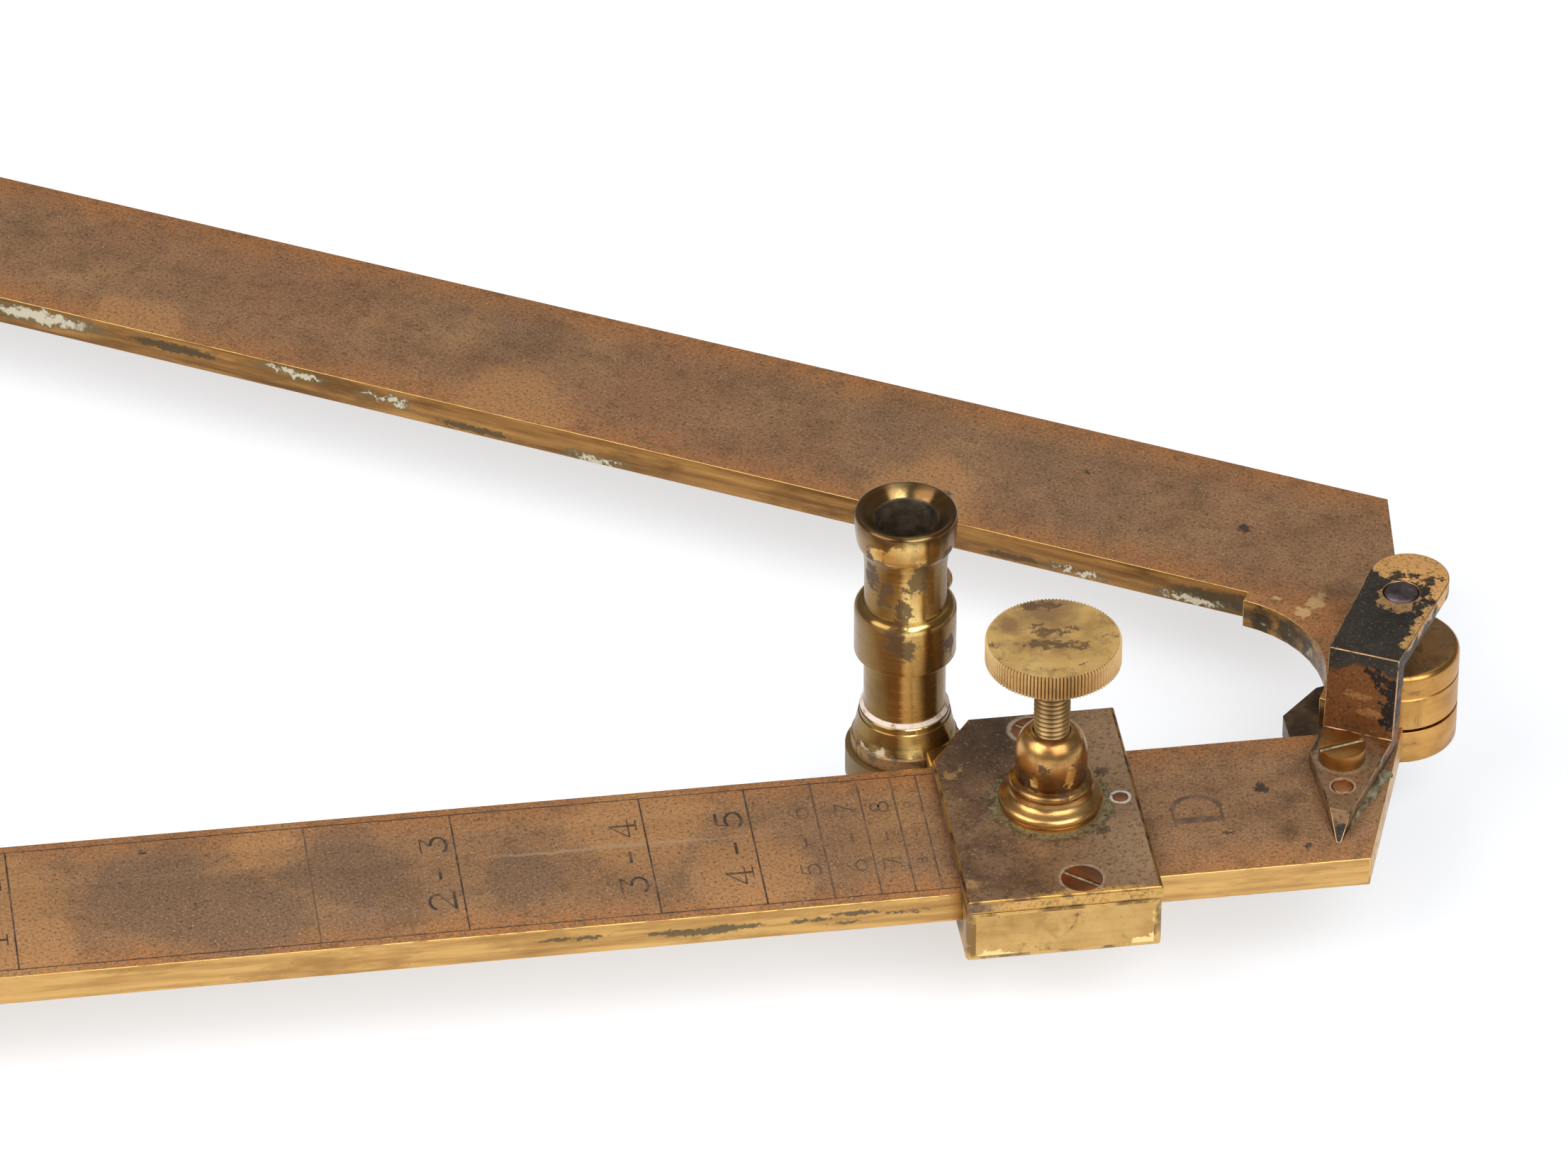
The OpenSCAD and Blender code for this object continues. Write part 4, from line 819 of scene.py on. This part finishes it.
def makeTube(k):
    body = bodyOf["tube_" + k]
    s = tubeSize
    bore, tube, collar, mouth, lip, e = (s[key] for key in ("bore", "tube", "collar", "mouth", "lip", "ease"))
    footHigh, collarAt = s["footHigh"], s["collarAt"]
    foot = axisOf("tube_foot_" + k)
    foot.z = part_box("tube_foot_" + k)[1].z - footHigh * mm
    drop = (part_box("tube_foot_" + k)[0].z - foot.z) / mm
    high = (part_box("tube_" + k)[1].z - foot.z) / mm
    base = footHigh / 3
    rim = tube + s["footWall"]
    groove = footHigh - s["band"]
    outline = [(bore, drop), (bore + 0.5, drop), (bore + 0.5, 0), (s["foot"] - e, 0),
               *arc(s["foot"] - e, e, e, e, -60, 0, 4), *arc(s["foot"] - e, base - e, e, e, 0, 60, 4),
               (s["foot"] - 0.25, base + 0.05), (rim + 0.12, groove), (rim, groove + 0.1),
               (rim, footHigh - 0.15), (rim - 0.12, footHigh), (bore, footHigh), (bore, drop)]
    shape = turnedShape(outline, foot)
    paint(f for f in shape.faces if f.calc_center_median().z < foot.z + (base + 0.02) * mm)
    place("turned_foot_" + k, shape, body, [footSkin[k], capSkin], ["tube_foot_" + k])
    ring = [(tube, footHigh - 0.1), (rim - 0.1, footHigh - 0.1), (rim - 0.06, footHigh + 0.12),
            (tube + 0.2, footHigh + 0.3), (tube - 0.03, footHigh + 0.5), (tube, footHigh - 0.1)]
    place("polish_ring_" + k, turnedShape(ring, foot), body, [pinkCrust])
    collarTop = collarAt + s["collarHigh"]
    swell = mouth - tube - s["cove"]
    outline = [(bore, s["floor"]), (tube, s["floor"]), (tube, collarAt - 0.1), (tube - 0.15, collarAt),
               (collar - e, collarAt), *arc(collar - e, collarAt + e, e, e, -70, 0, 4),
               (collar, collarTop - 0.1),
               *arc(tube + 0.15, collarTop, collar - tube - 0.15, s["shoulder"], 12, 80, 6),
               (tube + 0.1, collarTop + s["shoulder"]), (tube, collarTop + s["shoulder"] + 0.3),
               *arc(tube + s["cove"], high - s["flare"], s["cove"], s["flare"] - s["bowl"], 180, 100, 9),
               *arc(mouth - swell, high - lip, swell, s["bowl"] - lip, -82, 0, 8),
               *arc(mouth - lip, high - lip, lip, lip, 12, 90, 6),
               (bore + 0.15, high - s["throat"]), (bore, high - s["throat"] - 0.4), (bore, s["floor"])]
    shape = turnedShape(outline, foot)
    # Faces of the bore take the dark bore skin: painted shade inside the tube
    paint(f for f in shape.faces if (f.calc_center_median() - foot).xy.length < (bore + 0.1) * mm)
    place("turned_tube_" + k, shape, body, [tubeSkin[k], shadedBoreSkin], ["tube_" + k])


for k in "dbc":
    makeTube(k)
    dress("tube_screw_" + k, tubeSize["screwRound"], [capSkin, capSkin])
print("tubes turned")


# Sliders: milled box, bronzed plate and its screws, bell-shaped boss, thumbscrew with a knurled head
bossSize = {"flange": 6.0, "bead": 4.85, "bell": 4.14, "screw": 2.1, "dome": 7.4}
thumbSize = {
    "head": 3.1, "teeth": 112, "tooth": 0.4, "round": 0.15, "pitch": 0.62, "thread": 0.32, "steps": 28,
    "coreSides": 32, "coreIn": 0.08, "coreUp": 0.4, "crease": 30,
}
boxSize = {"edge": 0.35, "corner": 1.0, "onTop": False, "lift": 0.0, "segments": 3, "crease": 38}
plateSize = {"edge": 0.3, "corner": 0.42, "onTop": True, "lift": 0.04, "segments": 5, "crease": 0}
sliderLook = {"screwRound": 0.12, "rivetRound": 0.08}


def makeBoss(k):
    node = "clamp_boss_" + k
    low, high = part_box(node)
    h = (high.z - low.z) / mm
    flange, bead, bell, screw, dome = bossSize.values()
    throat = screw + 0.1
    outline = [(throat, 0), (flange - 0.25, 0), (flange - 0.2, 0.3), (flange - 0.42, 0.38),
               *arc(flange - 0.8, 1.1, 0.8, 0.72, -55, 65, 8),
               *arc(flange - 0.3, 2.95, 1.15, 1.15, 240, 190, 6),
               *arc(bead - 0.55, 3.6, 0.55, 0.6, -70, 75, 8),
               (bell - 0.1, 4.35), (bell, 4.6), (bell, dome),
               *arc(screw, dome, bell - screw, h - dome, 8, 84, 10),
               (throat, h - 0.02), (throat, 0)]
    shape = turnedShape(outline, axisOf(node))
    place("turned_boss_" + k, shape, bodyOf[node], [bossSkin[k]], [node])


def makeThumbscrew(k):
    node = "thumbscrew_" + k
    low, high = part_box(node)
    foot = axisOf(node)
    s = thumbSize
    r = (high.x - low.x) / 2
    under = high.z - s["head"] * mm
    axis = Vector((foot.x, foot.y, 0))
    shape = bmesh.new()
    rootR = r - s["tooth"] * mm
    loop = bmesh.ops.create_circle(shape, cap_ends=True, segments=2 * s["teeth"], radius=rootR)["verts"]
    bmesh.ops.translate(shape, verts=loop, vec=axis + up * under)
    cap = shape.faces[:][0]
    for height, inset in ((under + s["round"] * mm, 0), (high.z - s["round"] * mm, 0), (high.z, s["round"])):
        cap = bmesh.ops.extrude_discrete_faces(shape, faces=[cap])["faces"][0]
        for i, vert in enumerate(cap.verts):
            spoke = Vector((vert.co.x, vert.co.y, 0)) - axis
            dip = s["tooth"] * (i % 2) + inset * (1 - i % 2)
            vert.co = axis + spoke.normalized() * (r - dip * mm) + up * height
    crest = bossSize["screw"] * mm
    root = crest - s["thread"] * mm
    coreHigh = under + s["coreUp"] * mm - low.z
    coreR = root - s["coreIn"] * mm
    core = bmesh.ops.create_cone(shape, cap_ends=True, segments=s["coreSides"], radius1=coreR, radius2=coreR,
                                 depth=coreHigh)["verts"]
    bmesh.ops.translate(shape, verts=core, vec=axis + up * (low.z + coreHigh / 2))
    pitch = s["pitch"] * mm
    turns = int((under - low.z) / pitch)
    flank = crest - 0.05 * mm
    profile = [(root, 0), (flank, 0.38), (crest, 0.5), (flank, 0.62), (root, 1)]  # radius, share of the pitch
    verts = [shape.verts.new(axis + Vector((c, 0, low.z + share * pitch))) for c, share in profile]
    edges = [shape.edges.new(pair) for pair in zip(verts, verts[1:])]
    bmesh.ops.spin(shape, geom=verts + edges, cent=axis, axis=up, dvec=up * pitch / s["steps"],
                   angle=2 * math.pi * turns, steps=s["steps"] * turns)
    bmesh.ops.remove_doubles(shape, verts=shape.verts, dist=0.001 * mm)
    bmesh.ops.recalc_face_normals(shape, faces=shape.faces)
    for face in shape.faces:
        middle = face.calc_center_median()
        onKnurl = (middle - axis).xy.length > rootR and abs(face.normal.z) < 0.5
        face.material_index = 1 if onKnurl else 2 if middle.z < under - 0.1 * mm else 0
    skins = [thumbSkin[k], knurlSkin[k], threadSkin[k]]
    place("knurled_screw_" + k, shape, bodyOf[node], skins, [node], s["crease"])


# Rounds a copy of a CAD node, most along its outer face, either on its top or below it
def roundest(node, ref, size, skins):
    shape = merged(node)
    bottom, top = (corner.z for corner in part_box(node))
    face = max((v.co - ref["at"]).dot(ref["y"]) for v in shape.verts)
    weight = shape.edges.layers.float.new("bevel_weight_edge")
    for edge in shape.edges:
        if isSharp(edge) and edge.calc_length() > 2 * mm:
            isOuter = min((v.co - ref["at"]).dot(ref["y"]) for v in edge.verts) > face - 0.1 * mm
            isTop = min(v.co.z for v in edge.verts) > top - 0.1 * mm
            edge[weight] = 1.0 if isOuter and isTop == size["onTop"] else size["edge"] / size["corner"]
    for vert in shape.verts:
        vert.co.z += size["lift"] * mm if vert.co.z < bottom + 0.01 * mm else 0
    bevel = stand(node, shape, skins, size["crease"]).modifiers.new("rounding", "BEVEL")
    bevel.limit_method = "WEIGHT"
    bevel.width = size["corner"] * mm
    bevel.segments = size["segments"]
    bevel.material = 1
    bevel.harden_normals = size["crease"] > 0
    bevel.use_clamp_overlap = False


for k in "db":
    roundest("slider_box_" + k, sliders[k], boxSize, [boxSkin[k], boxEdge])
    roundest("slider_plate_" + k, sliders[k], plateSize, [plateSkin[k], plateEdge])
    packedScrew("plate_screws_" + k, sliderLook["screwRound"], [screwSkin, greenCrust])
    dress("spring_rivet_" + k, sliderLook["rivetRound"], [screwSkin, screwSkin])
    makeBoss(k)
    makeThumbscrew(k)
    for hidden in ("clamp_spring_", "clamp_pad_"):
        held = nodes[hidden + k].data.materials
        held.clear()
        held.append(screwSkin)
print("sliders dressed")


# Castors: filed forks, steel axles and bone wheels
castorLook = {  # rounding in mm, then the materials of faces and edges
    "fork": (0.25, forkSkin, barEdge), "axle": (0.15, steelSkin, steelSkin),
    "wheel": (0.1, boneSkin, boneSkin),
}
for k in "apqbc":
    for piece, (rounding, *skins) in castorLook.items():
        dress(f"castor_{piece}_{k}", rounding, skins)
print("castors dressed")


# Floor, light and camera
stageLook = {"grey": "bcc1c8", "glow": 0.57, "size": 6.0}
floorMesh = bpy.data.meshes.new("floor")
floorShape = bmesh.new()
bmesh.ops.create_grid(floorShape, x_segments=1, y_segments=1, size=stageLook["size"])
floorShape.to_mesh(floorMesh)
floorShape.free()
floor = addObject("floor", floorMesh)
# White paper: matt, lifted to white where the camera and the metal see it
paper = bpy.data.materials.new("white_paper")
paper.use_nodes = True
add = partial(addNode, paper.node_tree)
ray = add("LightPath")
seen = add("Math", {0: ray["Is Camera Ray"], 1: ray["Is Glossy Ray"]}, operation="MAXIMUM")[0]
seen = add("Math", {0: seen, 1: ray["Is Transmission Ray"]}, operation="MAXIMUM")[0]
surfaced(paper, {
    "Base Color": tone(stageLook["grey"]),
    "Roughness": 0.9,
    "Emission Color": tone("ffffff"),
    "Emission Strength": add("Math", {0: seen, 1: stageLook["glow"]}, operation="MULTIPLY")[0],
})
floorMesh.materials.append(paper)

cameraLook = {
    "target": (0.32983, 0.00879, 0.0179), "swing": 6.98, "pitch": 36.45, "distance": 1.1708, "lens": 228.27,
}
focus = Vector(cameraLook["target"])


def towards(swing, lift):  # degrees right of square-on, and above the floor
    swing, lift = math.radians(swing), math.radians(lift)
    return Vector((math.sin(swing) * math.cos(lift), -math.cos(swing) * math.cos(lift), math.sin(lift)))


lightLook = {  # degrees right of the camera and above the floor, metres away and wide, watts
    "left_softbox": (-58, 40, 1.5, 1.1, 16.0),
    "right_softbox": (32, 42, 1.5, 1.1, 16.0),
    "back_softbox": (170, 66, 1.6, 1.4, 3.0),
}
for name, (swing, lift, away, size, watts) in lightLook.items():
    lamp = bpy.data.lights.new(name, "AREA")
    lamp.shape = "SQUARE"
    lamp.size = size
    lamp.energy = watts
    holder = addObject(name, lamp)
    holder.location = focus + towards(cameraLook["swing"] + swing, lift) * away
    holder.rotation_euler = (focus - holder.location).to_track_quat("-Z", "Y").to_euler()

world = bpy.data.worlds.new("studio")
world.use_nodes = True
sky = world.node_tree.nodes["Background"].inputs
fill(world.node_tree, sky, {"Color": tone("7c7c7c"), "Strength": 1.0})
bpy.context.scene.world = world

lens = bpy.data.cameras.new("camera")
lens.lens = cameraLook["lens"]
lens.sensor_width = 36
lens.clip_start = 0.05
camera = addObject("camera", lens)
aim = towards(cameraLook["swing"], cameraLook["pitch"])
camera.location = focus + aim * cameraLook["distance"]
camera.rotation_euler = (-aim).to_track_quat("-Z", "Y").to_euler()
bpy.context.scene.camera = camera
bpy.context.scene.view_settings.view_transform = "Standard"
print("stage set")
